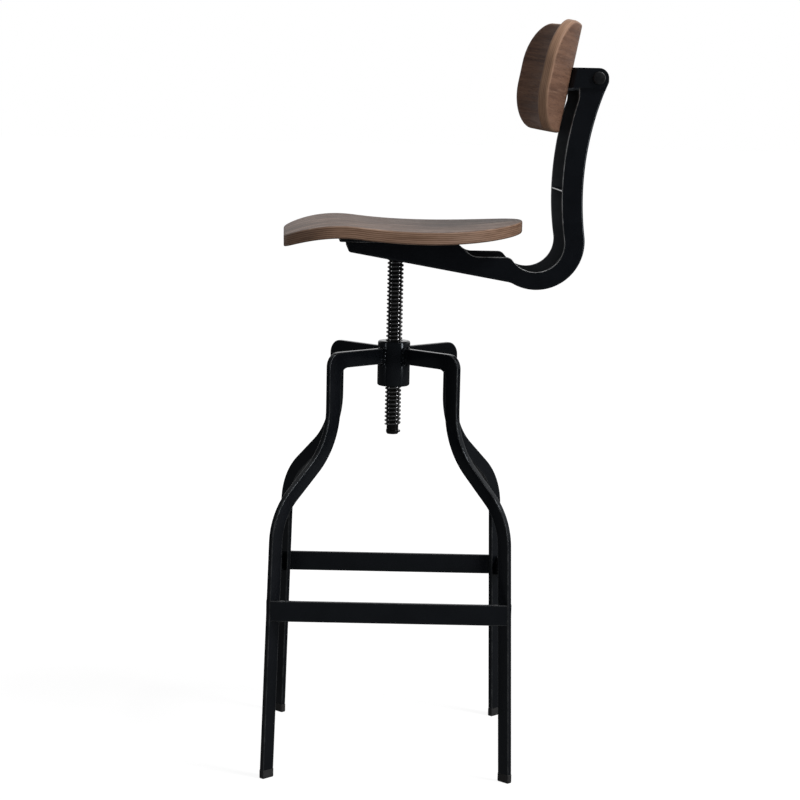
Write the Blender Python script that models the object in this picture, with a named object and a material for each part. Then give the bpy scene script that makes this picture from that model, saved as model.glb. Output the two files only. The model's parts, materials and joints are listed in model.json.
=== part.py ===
# Bar chair: a welded four-legged base, a screw-lift seat on a pressed steel spine, and a tilting back.
# Metres, +Z up. The chair faces -X, and its spindle stands upright in the middle of the base.

import math

import bmesh
import bpy
from mathutils import Vector

# Fits shared by all pieces
SEAM = 0.0003  # gap left where two pieces meet face to face
PLAY = 0.0003  # radial play of a pin, screw or spindle in its hole
EDGE_BREAK = 0.0008  # chamfer on the arrises of cut steel bar

# Base
HUB_DIAMETER = 0.048
HUB_HEIGHT = 0.067
HUB_TOP = 0.6185
HUB_CHAMFER = 0.0015
ARM_DROP = 0.010  # top of the hub down to the top of the arms
ARM_DEPTH = 0.0233
LEG_THICKNESS = 0.008
SHANK_WIDTH = 0.0230
SLANT_WIDTH = 0.021
LEG_WIDTH = 0.020
SHOULDER_REACH = 0.1334  # axis to the outer edge of the upright shank
WAIST_HEIGHT = 0.4803  # where the outer edges of shank and slant would meet
KNEE_REACH = 0.2391  # axis to where the outer edges of slant and lower leg would meet
KNEE_HEIGHT = 0.3883
FOOT_REACH = 0.2528
SHOULDER_ROUND = 0.020
ARMPIT_ROUND = 0.014
WAIST_ROUND = 0.100
KNEE_ROUND = 0.100
RAIL_TOP = 0.261
RAIL_HEIGHT = 0.030
RAIL_THICKNESS = 0.006
FOOT_HEIGHT = 0.0125
FOOT_OVERHANG = 0.0005
FOOT_ROUND = 0.002
FOOT_STEM_DIAMETER = 0.004
FOOT_STEM_LENGTH = 0.012

# Screw lift
SPINDLE_DIAMETER = 0.024
SPINDLE_BOTTOM = 0.4788
TIP_DIAMETER = 0.0176
TIP_LENGTH = 0.014
TIP_CHAMFER = 0.001
GROOVE_DEPTH = 0.002
RING_RISE = 0.0032  # end of the spindle up to the stop ring
RING_THICKNESS = 0.0025
RING_DIAMETER = 0.0236
RING_MOUTH = math.radians(70)
FLANGE_DIAMETER = 0.064
FLANGE_THICKNESS = 0.006
BOLT_INSET = 0.008  # rim of the flange in to the bolt centres
BOLT_DIAMETER = 0.006
BOLT_HEAD_DIAMETER = 0.0105
BOLT_HEAD_HEIGHT = 0.004

# Spine: a pressed channel that runs under the seat, hooks round and rises as the back post
CHANNEL_WIDTH = 0.130
SHEET = 0.0025
CHANNEL_BEND = 0.004
CHANNEL_REACH = 0.0723  # spindle axis to the front end
CHANNEL_DEPTH = 0.0254  # flange height at the spindle axis
CHANNEL_SLOPE = math.radians(9.76)
CHANNEL_FRONT_ROUND = 0.006
HOOK_X = 0.2008
HOOK_RADIUS = 0.0672
HOOK_DIP = 0.0032  # how far the hook hangs below the line of the channel
HOOK_BLEND = 0.025
POST_RADIUS = 0.427  # of the hollow curve down the back of the post
POST_WAIST_RISE = 0.0685  # middle of the hook up to the waist
POST_DEPTH = 0.0275  # flange depth at the waist
POST_LIP_RADIUS = 0.480  # of the flange edge above the waist
POST_LIP_LOW_RADIUS = 0.300  # of the flange edge below the waist
STEP_DROP = 0.0175  # flange top down to the step behind the seat plate
STEP_START = 0.108
STEP_RISE = math.radians(40)
STEP_ROUND = 0.012
STIFFENER_RISE = 0.005  # waist up to the middle of the stiffener
STIFFENER_THICKNESS = 0.003
STIFFENER_SET = 0.0005  # how far its front edge lies behind the flange edges

# Tilting joint of the back
PIVOT_RISE = 0.2192  # lowest part of the seat up to the pivot
PIVOT_INSET = 0.0147  # back of the post forward to the pivot
PIVOT_DIAMETER = 0.010
PIVOT_HEAD_DIAMETER = 0.0184
PIVOT_HEAD_HEIGHT = 0.005
TUBE_DIAMETER = 0.016
EAR_RISE = 0.0105  # pivot up to the top of the post's ears
EAR_GAP = 0.0043  # front of the ears to the web of the bracket
EAR_DROP = 0.0150
EAR_ROUND = 0.011
EAR_LIP_ROUND = 0.003
WEB_DROP = 0.018  # pivot down to the cut end of the web
BRACKET_HEIGHT = 0.029
BRACKET_SHEET = 0.003
BRACKET_BEND = 0.011
BRACKET_PLAY = 0.0006  # between each arm and the flange beside it

# Plywood
SEAT_WIDTH = 0.338
SEAT_THICKNESS = 0.0177
SEAT_FRONT = 0.1655  # spindle axis to the front edge
SEAT_REAR = 0.1848
SEAT_CORNER = 0.075
SEAT_DISH_X = 0.043
SEAT_DISH_HEIGHT = 0.7890
SEAT_DISH_RADIUS = 0.900
SEAT_CROWN_RISE = 0.0072
SEAT_CROWN_RADIUS = 0.206
SEAT_ARRIS = 0.0025
BACK_WIDTH = 0.294  # chord between the front arrises
BACK_HEIGHT = 0.1593
BACK_THICKNESS = 0.016
BACK_RADIUS = 0.276  # of the hollow front face
BACK_CORNER = 0.064
BACK_ARRIS = 0.004
BACK_LEAN = math.radians(10.8)
BACK_SETBACK = 0.0347  # pivot forward to the middle of the back's rear face
BACK_RISE = -0.0022  # pivot up to the middle of the back's rear face

# Seat plate and wood screws
PLATE_THICKNESS = 0.004
PLATE_FRONT = 0.0847
PLATE_REAR = 0.084
PLATE_CORNER = 0.006
SCREW_DIAMETER = 0.004
SCREW_HEAD_DIAMETER = 0.009
SCREW_HEAD_HEIGHT = 0.0028
SCREW_BITE = 0.012  # depth of the screw in the wood
SEAT_SCREW_FRONT = 0.064
SEAT_SCREW_REAR = 0.066
SEAT_SCREW_SPREAD = 0.090
PACKER_LENGTH = 0.042  # strip that fills the space between the plate and the crown of the seat
PACKER_INSET = 0.0008  # edge of the plate in to the strip
BACK_SCREW_SPREADS = (0.036, 0.084)

# Rest pose: how far the seat stands turned on its screw
SEAT_TURN = math.radians(3.0)

# Derived levels
ARM_TOP = HUB_TOP - ARM_DROP
LEG_END = FOOT_HEIGHT + SEAM
PLATE_TOP = SEAT_DISH_HEIGHT - SEAT_THICKNESS - SEAM
PLATE_BOTTOM = PLATE_TOP - PLATE_THICKNESS
FLANGE_TOP = PLATE_BOTTOM - SEAM
FLANGE_BOTTOM = FLANGE_TOP - FLANGE_THICKNESS
CHANNEL_TOP = PLATE_BOTTOM - SEAM
CHANNEL_HEIGHT = CHANNEL_TOP - CHANNEL_DEPTH
STEP_HEIGHT = CHANNEL_TOP - STEP_DROP
HOOK_LEVEL = HOOK_RADIUS - HOOK_DIP - HOOK_X * math.sin(CHANNEL_SLOPE)
HOOK_HEIGHT = CHANNEL_HEIGHT + HOOK_LEVEL / math.cos(CHANNEL_SLOPE)
POST_WAIST_HEIGHT = HOOK_HEIGHT + POST_WAIST_RISE
STIFFENER_HEIGHT = POST_WAIST_HEIGHT + STIFFENER_RISE
SEAT_CROWN_HEIGHT = SEAT_DISH_HEIGHT + SEAT_CROWN_RISE
PIVOT_HEIGHT = SEAT_DISH_HEIGHT + PIVOT_RISE
BACK_REAR_RADIUS = BACK_RADIUS + BACK_THICKNESS
BOLT_CIRCLE = FLANGE_DIAMETER - 2 * BOLT_INSET
EAR_REACH = BACK_SETBACK - (SEAM + BRACKET_SHEET) / math.cos(BACK_LEAN) - EAR_GAP
ARC_ERROR = 0.00012  # how far a straight facet may lie inside its arc
ARC_STEP = math.radians(22.5)  # the most that one facet turns

for stale in list(bpy.data.objects):
    bpy.data.objects.remove(stale)


def make_material(name, colour, roughness, metallic):
    made = bpy.data.materials.new(name)
    made.use_nodes = True
    shader = made.node_tree.nodes["Principled BSDF"]
    shader.inputs["Base Color"].default_value = (*colour, 1.0)
    shader.inputs["Roughness"].default_value = roughness
    shader.inputs["Metallic"].default_value = metallic
    return made


BLACK_PAINT = make_material("black_paint", (0.012, 0.012, 0.014), 0.45, 0.0)
DARK_STEEL = make_material("dark_steel", (0.03, 0.03, 0.034), 0.40, 0.8)
RUBBER = make_material("rubber", (0.02, 0.02, 0.02), 0.75, 0.0)
WALNUT = make_material("stained_plywood", (0.16, 0.095, 0.06), 0.55, 0.0)


def add_empty(name, location=(0, 0, 0), parent=None, turn=(0, 0, 0)):
    empty = bpy.data.objects.new(name, None)
    bpy.context.scene.collection.objects.link(empty)
    empty.parent = parent
    empty.location = location
    empty.rotation_euler = turn
    return empty


def add_piece(name, shape, material, parent, location=(0, 0, 0), turn=(0, 0, 0)):
    mesh = bpy.data.meshes.new(name)
    bmesh.ops.recalc_face_normals(shape, faces=shape.faces)
    shape.to_mesh(mesh)
    shape.free()
    mesh.shade_smooth()
    mesh.set_sharp_from_angle(angle=math.radians(35))
    mesh.materials.append(material)
    piece = bpy.data.objects.new(name, mesh)
    bpy.context.scene.collection.objects.link(piece)
    piece.parent = parent
    piece.location = location
    piece.rotation_euler = turn
    return piece


def add_cutter(name, shape, parent, location=(0, 0, 0), turn=(0, 0, 0)):
    cutter = add_piece(name, shape, DARK_STEEL, parent, location, turn)
    cutter.hide_render = True
    cutter.display_type = "WIRE"
    return cutter


def cut(piece, cutter, operation="DIFFERENCE"):
    modifier = piece.modifiers.new(cutter.name, "BOOLEAN")
    modifier.operation = operation
    modifier.solver = "EXACT"
    modifier.object = cutter


def arc(centre, radius, start, end):
    """Points on an arc from angle start to angle end, both included."""
    facet = min(ARC_STEP, 2 * math.acos(max(0.5, 1 - ARC_ERROR / radius)))
    steps = max(1, math.ceil(abs(end - start) / facet - 1e-6))
    turn = (end - start) / steps
    return [
        centre + radius * Vector((math.cos(start + turn * i), math.sin(start + turn * i)))
        for i in range(steps + 1)
    ]


def rounded(corners, closed=True):
    """An outline through (x, y, radius) corners, each radius limited by its own sides."""
    points = []
    count = len(corners)
    for i, (x, y, radius) in enumerate(corners):
        here = Vector((x, y))
        if radius <= 0 or (not closed and i in (0, count - 1)):
            points.append(here)
            continue
        before = Vector(corners[i - 1][:2]) - here
        after = Vector(corners[(i + 1) % count][:2]) - here
        half = before.angle(after) / 2
        run = min(radius / math.tan(half), 0.49 * before.length, 0.49 * after.length)
        radius = run * math.tan(half)
        middle = here + (before.normalized() + after.normalized()).normalized() * run / math.cos(half)
        start = here + before.normalized() * run - middle
        end = here + after.normalized() * run - middle
        first = math.atan2(start.y, start.x)
        sweep = (math.atan2(end.y, end.x) - first + math.pi) % math.tau - math.pi
        points += arc(middle, radius, first, first + sweep)
    return points


def crossing(a, b, c, d):
    """Where the line through a and b meets the line through c and d."""
    ab, cd = b - a, d - c
    share = (c - a).cross(cd) / ab.cross(cd)
    return a + ab * share


def slab(outline, low, high, plane="XZ"):
    """A solid with this outline, reaching from low to high across the outline's plane."""
    shape = bmesh.new()
    if plane == "XZ":
        ring = [shape.verts.new((p[0], low, p[1])) for p in outline]
        step = Vector((0, high - low, 0))
    else:
        ring = [shape.verts.new((p[0], p[1], low)) for p in outline]
        step = Vector((0, 0, high - low))
    face = shape.faces.new(ring)
    grown = bmesh.ops.extrude_face_region(shape, geom=[face])
    moved = [g for g in grown["geom"] if isinstance(g, bmesh.types.BMVert)]
    bmesh.ops.translate(shape, verts=moved, vec=step)
    return shape


def break_edges(shape, chosen, width, segments=1):
    edges = [edge for edge in shape.edges if chosen(edge)]
    bmesh.ops.bevel(
        shape, geom=edges, offset=width, segments=segments, profile=0.5, affect="EDGES", clamp_overlap=True
    )


def turned(profile, steps=24):
    """A solid of revolution about Z from an (r, z) profile, from axis to axis or closed on itself."""
    shape = bmesh.new()
    spots = [shape.verts.new((r, 0, z)) for r, z in profile]
    edges = [shape.edges.new(pair) for pair in zip(spots, spots[1:])]
    bmesh.ops.spin(
        shape,
        geom=spots + edges,
        cent=(0, 0, 0),
        axis=(0, 0, 1),
        angle=math.tau,
        steps=steps,
        use_merge=True,
    )
    bmesh.ops.remove_doubles(shape, verts=shape.verts, dist=1e-6)
    return shape


def rod(diameter, low, high, steps=24):
    radius = diameter / 2
    return turned([(0, low), (radius, low), (radius, high), (0, high)], steps)


def sleeve(outer, inner, low, high, chamfer=0.0, steps=32):
    out, bore = outer / 2, inner / 2
    profile = [(bore, low), (out - chamfer, low), (out, low + chamfer), (out, high - chamfer)]
    profile += [(out - chamfer, high), (bore, high), (bore, low)]
    if not chamfer:
        profile = [(bore, low), (out, low), (out, high), (bore, high), (bore, low)]
    return turned(profile, steps)


def headed_screw(shank, head, head_height, length, steps=16):
    """A round-headed screw along Z: the head's seat is at z = 0, and the shank runs up from it."""
    tip = shank / 2
    profile = [(0, -head_height), (head * 0.32, -head_height), (head * 0.46, -head_height * 0.62)]
    profile += [(head / 2, -head_height * 0.2), (head / 2, 0), (shank / 2, 0)]
    profile += [(shank / 2, length - tip * 0.5), (tip * 0.55, length), (0, length)]
    return turned(profile, steps)


# Base


def leg_edges():
    """Outer and inner corner points of a leg, in its own (reach, height) plane, from hub to foot."""
    outer = [
        Vector((HUB_DIAMETER / 2 + SEAM, ARM_TOP)),
        Vector((SHOULDER_REACH, ARM_TOP)),
        Vector((SHOULDER_REACH, WAIST_HEIGHT)),
        Vector((KNEE_REACH, KNEE_HEIGHT)),
        Vector((FOOT_REACH, LEG_END)),
    ]
    sides = []
    for start, end, width in zip(outer, outer[1:], (ARM_DEPTH, SHANK_WIDTH, SLANT_WIDTH, LEG_WIDTH)):
        along = (end - start).normalized()
        inwards = Vector((along.y, -along.x)) * width
        sides.append((start + inwards, end + inwards))
    floor = (Vector((0, LEG_END)), Vector((1, LEG_END)))
    inner = [sides[0][0]]
    inner += [crossing(*one, *other) for one, other in zip(sides, sides[1:])]
    inner.append(crossing(*sides[3], *floor))
    return outer, inner


LEG_OUTER, LEG_INNER = leg_edges()


def leg_reach(height):
    """Reach of the lower leg's outer edge at a height."""
    share = (KNEE_HEIGHT - height) / (KNEE_HEIGHT - LEG_END)
    return KNEE_REACH + (FOOT_REACH - KNEE_REACH) * share


def leg_shape():
    outside = (0, SHOULDER_ROUND, WAIST_ROUND, KNEE_ROUND, 0)
    inside = (0, ARMPIT_ROUND, WAIST_ROUND + SHANK_WIDTH, KNEE_ROUND - LEG_WIDTH, 0)
    corners = [(*point, radius) for point, radius in zip(LEG_OUTER, outside)]
    corners += [(*point, radius) for point, radius in reversed(list(zip(LEG_INNER, inside)))]
    shape = slab(rounded(corners), -LEG_THICKNESS / 2, LEG_THICKNESS / 2)
    flat_end = LEG_OUTER[0].x + EDGE_BREAK

    def along_outline(edge):
        one, other = (vert.co for vert in edge.verts)
        level = abs(one.y - other.y) < 1e-6
        return level and max(one.x, other.x) > flat_end and max(one.z, other.z) > LEG_END + 1e-6

    break_edges(shape, along_outline, EDGE_BREAK)
    return shape


FOOT_MIDDLE = (LEG_OUTER[-1].x + LEG_INNER[-1].x) / 2


def foot_shape():
    length = LEG_OUTER[-1].x - LEG_INNER[-1].x + 2 * FOOT_OVERHANG
    width = LEG_THICKNESS + 2 * FOOT_OVERHANG
    quarters = ((1, 1), (-1, 1), (-1, -1), (1, -1))
    corners = [(sx * length / 2, sy * width / 2, FOOT_ROUND) for sx, sy in quarters]
    shape = slab(rounded(corners), 0, FOOT_HEIGHT, "XY")
    break_edges(shape, lambda edge: all(vert.co.z < 1e-6 for vert in edge.verts), FOOT_ROUND / 2)
    return shape


def rail_shape():
    """The rail on the -Y side: a flat bar whose ends are mitred to the side faces of two legs."""
    face = (leg_reach(RAIL_TOP) + LEG_THICKNESS / 2) / math.sqrt(2)
    mitre = math.sqrt(2) * (LEG_THICKNESS / 2 + SEAM)
    inner = face - RAIL_THICKNESS
    corners = [(face - mitre, -face), (inner - mitre, -inner)]
    corners += [(mitre - inner, -inner), (mitre - face, -face)]
    shape = slab(corners, RAIL_TOP - RAIL_HEIGHT, RAIL_TOP, "XY")

    def lengthwise(edge):
        one, other = (vert.co for vert in edge.verts)
        return abs(one.y - other.y) < 1e-6 and abs(one.z - other.z) < 1e-6

    break_edges(shape, lengthwise, EDGE_BREAK)
    return shape


def build_base(chair):
    bore = SPINDLE_DIAMETER + 2 * PLAY
    hub = sleeve(HUB_DIAMETER, bore, HUB_TOP - HUB_HEIGHT, HUB_TOP, HUB_CHAMFER)
    add_piece("hub", hub, BLACK_PAINT, chair)
    for name, degrees in (("rear_far", 45), ("front_far", 135), ("front_near", 225), ("rear_near", 315)):
        turn = (0, 0, math.radians(degrees))
        leg = add_piece(f"leg_{name}", leg_shape(), BLACK_PAINT, chair, turn=turn)
        socket = rod(FOOT_STEM_DIAMETER + 2 * PLAY, -SEAM, FOOT_STEM_LENGTH + SEAM, 12)
        bmesh.ops.translate(socket, verts=socket.verts, vec=(FOOT_MIDDLE, 0, LEG_END))
        cut(leg, add_cutter(f"socket_{name}", socket, chair, turn=turn))
        block = foot_shape()
        bmesh.ops.translate(block, verts=block.verts, vec=(FOOT_MIDDLE, 0, 0))
        foot = add_piece(f"foot_{name}", block, RUBBER, chair, turn=turn)
        stem = rod(FOOT_STEM_DIAMETER, FOOT_HEIGHT / 2, LEG_END + FOOT_STEM_LENGTH - SEAM, 12)
        bmesh.ops.translate(stem, verts=stem.verts, vec=(FOOT_MIDDLE, 0, 0))
        cut(foot, add_cutter(f"stem_{name}", stem, chair, turn=turn), "UNION")
    for name, degrees in (("near", 0), ("rear", 90), ("far", 180), ("front", 270)):
        add_piece(f"rail_{name}", rail_shape(), BLACK_PAINT, chair, turn=(0, 0, math.radians(degrees)))


# Screw lift


def build_lift(chair, swivel):
    body, tip = SPINDLE_DIAMETER / 2, TIP_DIAMETER / 2
    groove = tip - GROOVE_DEPTH
    low = SPINDLE_BOTTOM
    ring_low = low + RING_RISE
    ring_high = ring_low + RING_THICKNESS
    thread_end = low + TIP_LENGTH
    profile = [(0, low), (tip - TIP_CHAMFER, low), (tip, low + TIP_CHAMFER)]
    profile += [(tip, ring_low - SEAM), (groove, ring_low - SEAM)]
    profile += [(groove, ring_high + SEAM), (tip, ring_high + SEAM)]
    profile += [(tip, thread_end), (body - TIP_CHAMFER, thread_end), (body, thread_end + TIP_CHAMFER)]
    profile += [(body, FLANGE_TOP), (0, FLANGE_TOP)]
    add_piece("spindle", turned(profile, 32), DARK_STEEL, swivel)

    # The stop ring lies loose in its groove, with its mouth to the front.
    middle = Vector((0, 0))
    opening = math.pi - RING_MOUTH / 2
    outline = arc(middle, RING_DIAMETER / 2, -opening, opening)
    outline += arc(middle, groove + PLAY, opening, -opening)
    ring = slab(outline, ring_low, ring_high, "XY")
    add_piece("stop_ring", ring, DARK_STEEL, chair)

    bore = SPINDLE_DIAMETER + 2 * PLAY
    flange = add_piece(
        "spindle_flange", sleeve(FLANGE_DIAMETER, bore, FLANGE_BOTTOM, FLANGE_TOP), BLACK_PAINT, swivel
    )
    return flange


def flange_bolt_places():
    for number in range(4):
        angle = math.radians(45 + 90 * number)
        yield number + 1, (BOLT_CIRCLE / 2 * math.cos(angle), BOLT_CIRCLE / 2 * math.sin(angle))


def build_flange_bolts(swivel, flange, plate):
    length = FLANGE_THICKNESS + PLATE_THICKNESS
    for number, (x, y) in flange_bolt_places():
        hole = rod(BOLT_DIAMETER + 2 * PLAY, FLANGE_BOTTOM - SEAM, PLATE_TOP + SEAM, 16)
        cutter = add_cutter(f"flange_hole_{number}", hole, swivel, (x, y, 0))
        cut(flange, cutter)
        cut(plate, cutter)
        bolt = headed_screw(BOLT_DIAMETER, BOLT_HEAD_DIAMETER, BOLT_HEAD_HEIGHT, length)
        add_piece(f"flange_bolt_{number}", bolt, DARK_STEEL, swivel, (x, y, FLANGE_BOTTOM - SEAM))


# Spine


HOOK = Vector((HOOK_X, HOOK_HEIGHT))


def post_centre(radius, setback):
    """Centre of a hollow post curve with its waist this far in front of the back of the post."""
    reach = HOOK_RADIUS + POST_RADIUS
    across = math.sqrt(reach**2 - (POST_WAIST_HEIGHT - HOOK_HEIGHT) ** 2)
    waist = HOOK_X + across - POST_RADIUS
    return Vector((waist - setback + radius, POST_WAIST_HEIGHT))


POST = post_centre(POST_RADIUS, 0)
POST_LIP = post_centre(POST_LIP_RADIUS, POST_DEPTH)
POST_LIP_LOW = post_centre(POST_LIP_LOW_RADIUS, POST_DEPTH)
HOOK_LIP_RADIUS = (POST_LIP_LOW - HOOK).length - POST_LIP_LOW_RADIUS


def post_x(centre, radius, height):
    return centre.x - math.sqrt(radius**2 - (height - centre.y) ** 2)


PIVOT_X = post_x(POST, POST_RADIUS, PIVOT_HEIGHT) - PIVOT_INSET


def post_arc(centre, radius, low, high):
    """Points down or up a hollow post curve between two heights."""
    first = math.pi - math.asin((low - centre.y) / radius)
    last = math.pi - math.asin((high - centre.y) / radius)
    return arc(centre, radius, first, last)


def web_curve(inset, top):
    """The web's line from the front, round the hook and up the post to a height, moved in by inset."""
    along = Vector((math.cos(CHANNEL_SLOPE), -math.sin(CHANNEL_SLOPE)))
    up = Vector((math.sin(CHANNEL_SLOPE), math.cos(CHANNEL_SLOPE)))
    root = Vector((0, CHANNEL_HEIGHT))
    rise = (HOOK - root).dot(up)
    run = (HOOK - root).dot(along) - math.sqrt((HOOK_RADIUS + HOOK_BLEND) ** 2 - (rise + HOOK_BLEND) ** 2)
    blend = root + along * run - up * HOOK_BLEND
    to_hook = HOOK - blend
    front = root - along * (CHANNEL_REACH / along.x) + up * inset
    blend_end = math.atan2(to_hook.y, to_hook.x)
    points = [front]
    points += arc(blend, HOOK_BLEND + inset, math.atan2(up.y, up.x), blend_end)
    to_post = POST - HOOK
    leave = math.atan2(to_post.y, to_post.x)
    points += arc(HOOK, HOOK_RADIUS - inset, blend_end + math.pi - math.tau, leave)[1:]
    joint = HOOK + to_post.normalized() * HOOK_RADIUS
    points += post_arc(POST, POST_RADIUS + inset, joint.y, top)[1:]
    return points


def spine_outline():
    """Side outline of the spine: along the web to the post's top, over the ear, down the flange edge."""
    shoulder = PIVOT_HEIGHT - EAR_ROUND / 2
    points = web_curve(0, shoulder)
    back = points[-1]
    front = points.pop(0)
    ear_top = PIVOT_HEIGHT + EAR_RISE
    ear_foot = PIVOT_HEIGHT - EAR_DROP
    lip_top = post_x(POST_LIP, POST_LIP_RADIUS, ear_foot)
    lip_below = ear_foot - 4 * EAR_LIP_ROUND
    ear = [
        (*back, 0),
        (back.x, ear_top, EAR_ROUND),
        (PIVOT_X - EAR_REACH, ear_top, EAR_ROUND / 2),
        (PIVOT_X - EAR_REACH, ear_foot, EAR_LIP_ROUND),
        (lip_top, ear_foot, EAR_LIP_ROUND),
        (post_x(POST_LIP, POST_LIP_RADIUS, lip_below), lip_below, 0),
    ]
    points += rounded(ear, closed=False)[1:]
    from_lip = POST_LIP_LOW - HOOK
    joint = HOOK + from_lip.normalized() * HOOK_LIP_RADIUS
    points += post_arc(POST_LIP, POST_LIP_RADIUS, lip_below, POST_WAIST_HEIGHT)[1:]
    points += post_arc(POST_LIP_LOW, POST_LIP_LOW_RADIUS, POST_WAIST_HEIGHT, joint.y)[1:]
    drop = HOOK_HEIGHT - STEP_HEIGHT + STEP_ROUND
    ahead = math.sqrt((HOOK_LIP_RADIUS + STEP_ROUND) ** 2 - drop**2)
    nose = Vector((HOOK_X - ahead, STEP_HEIGHT - STEP_ROUND))
    to_hook = HOOK - nose
    meet = math.atan2(to_hook.y, to_hook.x)
    points += arc(HOOK, HOOK_LIP_RADIUS, math.atan2(from_lip.y, from_lip.x), meet - math.pi)[1:]
    points += arc(nose, STEP_ROUND, meet, math.pi / 2)[1:]
    rise_end = STEP_START - (CHANNEL_TOP - STEP_HEIGHT) / math.tan(STEP_RISE)
    step = [
        (nose.x, STEP_HEIGHT, 0),
        (STEP_START, STEP_HEIGHT, STEP_ROUND),
        (rise_end, CHANNEL_TOP, 0),
        (-CHANNEL_REACH, CHANNEL_TOP, 0),
        (*front, CHANNEL_FRONT_ROUND),
        (*points[0], 0),
    ]
    points += rounded(step, closed=False)[1:-1]
    return points


def build_spine(swivel):
    half = CHANNEL_WIDTH / 2
    outline = spine_outline()
    shape = slab(outline, -half, half)
    bend_line = web_curve(0, PIVOT_HEIGHT - WEB_DROP)[1:]

    def along_web(edge):
        one, other = (vert.co for vert in edge.verts)
        if abs(one.y - other.y) > 1e-6:
            return False
        return all(min((Vector((co.x, co.z)) - p).length for p in bend_line) < 1e-5 for co in (one, other))

    break_edges(shape, along_web, CHANNEL_BEND, 3)
    spine = add_piece("spine", shape, BLACK_PAINT, swivel)

    # The hollow reaches past the front, and above the web it runs out through the back between the ears.
    web_top = PIVOT_HEIGHT - WEB_DROP
    inside = web_curve(SHEET, web_top)
    clear = SPINDLE_DIAMETER
    along = (inside[0] - inside[1]).normalized()
    inside[0] = inside[0] + along * clear
    right = inside[-1].x + clear + CHANNEL_WIDTH
    above = PIVOT_HEIGHT + EAR_RISE + clear
    inside += [Vector((right, web_top)), Vector((right, above)), Vector((inside[0].x, above))]
    hollow = add_cutter("spine_hollow", slab(inside, SHEET - half, half - SHEET), swivel)
    cut(spine, hollow)
    spindle_hole = rod(SPINDLE_DIAMETER + 4 * PLAY, CHANNEL_HEIGHT - HOOK_RADIUS, CHANNEL_TOP, 32)
    cut(spine, add_cutter("spine_spindle_hole", spindle_hole, swivel))
    pin_hole = rod(PIVOT_DIAMETER + 2 * PLAY, -CHANNEL_WIDTH, CHANNEL_WIDTH, 20)
    crosswise = (math.pi / 2, 0, 0)
    cut(spine, add_cutter("spine_pivot_hole", pin_hole, swivel, (PIVOT_X, 0, PIVOT_HEIGHT), crosswise))

    low = STIFFENER_HEIGHT - STIFFENER_THICKNESS / 2
    high = STIFFENER_HEIGHT + STIFFENER_THICKNESS / 2
    front = max(post_x(POST_LIP, POST_LIP_RADIUS, z) for z in (low, high)) + STIFFENER_SET
    rear = min(post_x(POST, POST_RADIUS + SHEET, z) for z in (low, STIFFENER_HEIGHT, high)) - SEAM
    wide = half - SHEET - SEAM
    plate = slab([(front, -wide), (rear, -wide), (rear, wide), (front, wide)], low, high, "XY")
    add_piece("spine_stiffener", plate, BLACK_PAINT, swivel)


# Seat


def seat_arcs():
    """X of the crown, and where the crown runs into the dish."""
    reach = SEAT_DISH_RADIUS + SEAT_CROWN_RADIUS
    across = math.sqrt(reach**2 - (reach - (SEAT_CROWN_HEIGHT - SEAT_DISH_HEIGHT)) ** 2)
    crown = SEAT_DISH_X - across
    return crown, SEAT_DISH_X - across * SEAT_DISH_RADIUS / reach


SEAT_CROWN_X, SEAT_CROWN_END = seat_arcs()


def seat_top(x):
    """Height of the seat's upper face: a crown that falls away to the front, and a shallow dish."""
    if x < SEAT_CROWN_END:
        fall = SEAT_CROWN_RADIUS - math.sqrt(SEAT_CROWN_RADIUS**2 - (x - SEAT_CROWN_X) ** 2)
        return SEAT_CROWN_HEIGHT - fall
    return SEAT_DISH_HEIGHT + SEAT_DISH_RADIUS - math.sqrt(SEAT_DISH_RADIUS**2 - (x - SEAT_DISH_X) ** 2)


def blank(outline, spacing, thickness):
    """A flat sheet of plywood on Z = 0 to -thickness, scored across X so that it can be bent."""
    shape = bmesh.new()
    shape.faces.new([shape.verts.new((p[0], p[1], 0)) for p in outline])
    low = min(p[0] for p in outline)
    high = max(p[0] for p in outline)
    scores = math.floor((high - low) / spacing)
    for number in range(1, scores + 1):
        at = low + (high - low) * number / (scores + 1)
        bmesh.ops.bisect_plane(
            shape,
            geom=shape.verts[:] + shape.edges[:] + shape.faces[:],
            plane_co=(at, 0, 0),
            plane_no=(1, 0, 0),
        )
    grown = bmesh.ops.extrude_face_region(shape, geom=shape.faces[:])
    moved = [g for g in grown["geom"] if isinstance(g, bmesh.types.BMVert)]
    bmesh.ops.translate(shape, verts=moved, vec=(0, 0, -thickness))
    return shape


def rim_edges(shape):
    """Edges between the two broad faces of a blank and its rim."""
    found = set()
    for face in shape.faces:
        if abs(face.normal.z) > 0.5:
            continue
        for edge in face.edges:
            one, other = edge.verts
            if abs(one.co.z - other.co.z) < 1e-7:
                found.add(edge)
    return found


def round_rim(shape, radius):
    shape.normal_update()
    bmesh.ops.bevel(
        shape,
        geom=list(rim_edges(shape)),
        offset=radius,
        segments=2,
        profile=0.5,
        affect="EDGES",
        clamp_overlap=True,
    )


def seat_outline():
    radius = SEAT_WIDTH / 2
    rear = arc(Vector((SEAT_REAR - radius, 0)), radius, -math.pi / 2, math.pi / 2)
    front = [
        (*rear[-1], 0),
        (-SEAT_FRONT, radius, SEAT_CORNER),
        (-SEAT_FRONT, -radius, SEAT_CORNER),
        (*rear[0], 0),
    ]
    return rear + rounded(front, closed=False)[1:-1]


def screw_places():
    """Number, x and y of each seat screw."""
    number = 0
    for x in (-SEAT_SCREW_FRONT, SEAT_SCREW_REAR):
        for y in (-SEAT_SCREW_SPREAD / 2, SEAT_SCREW_SPREAD / 2):
            number += 1
            yield number, x, y


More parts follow.
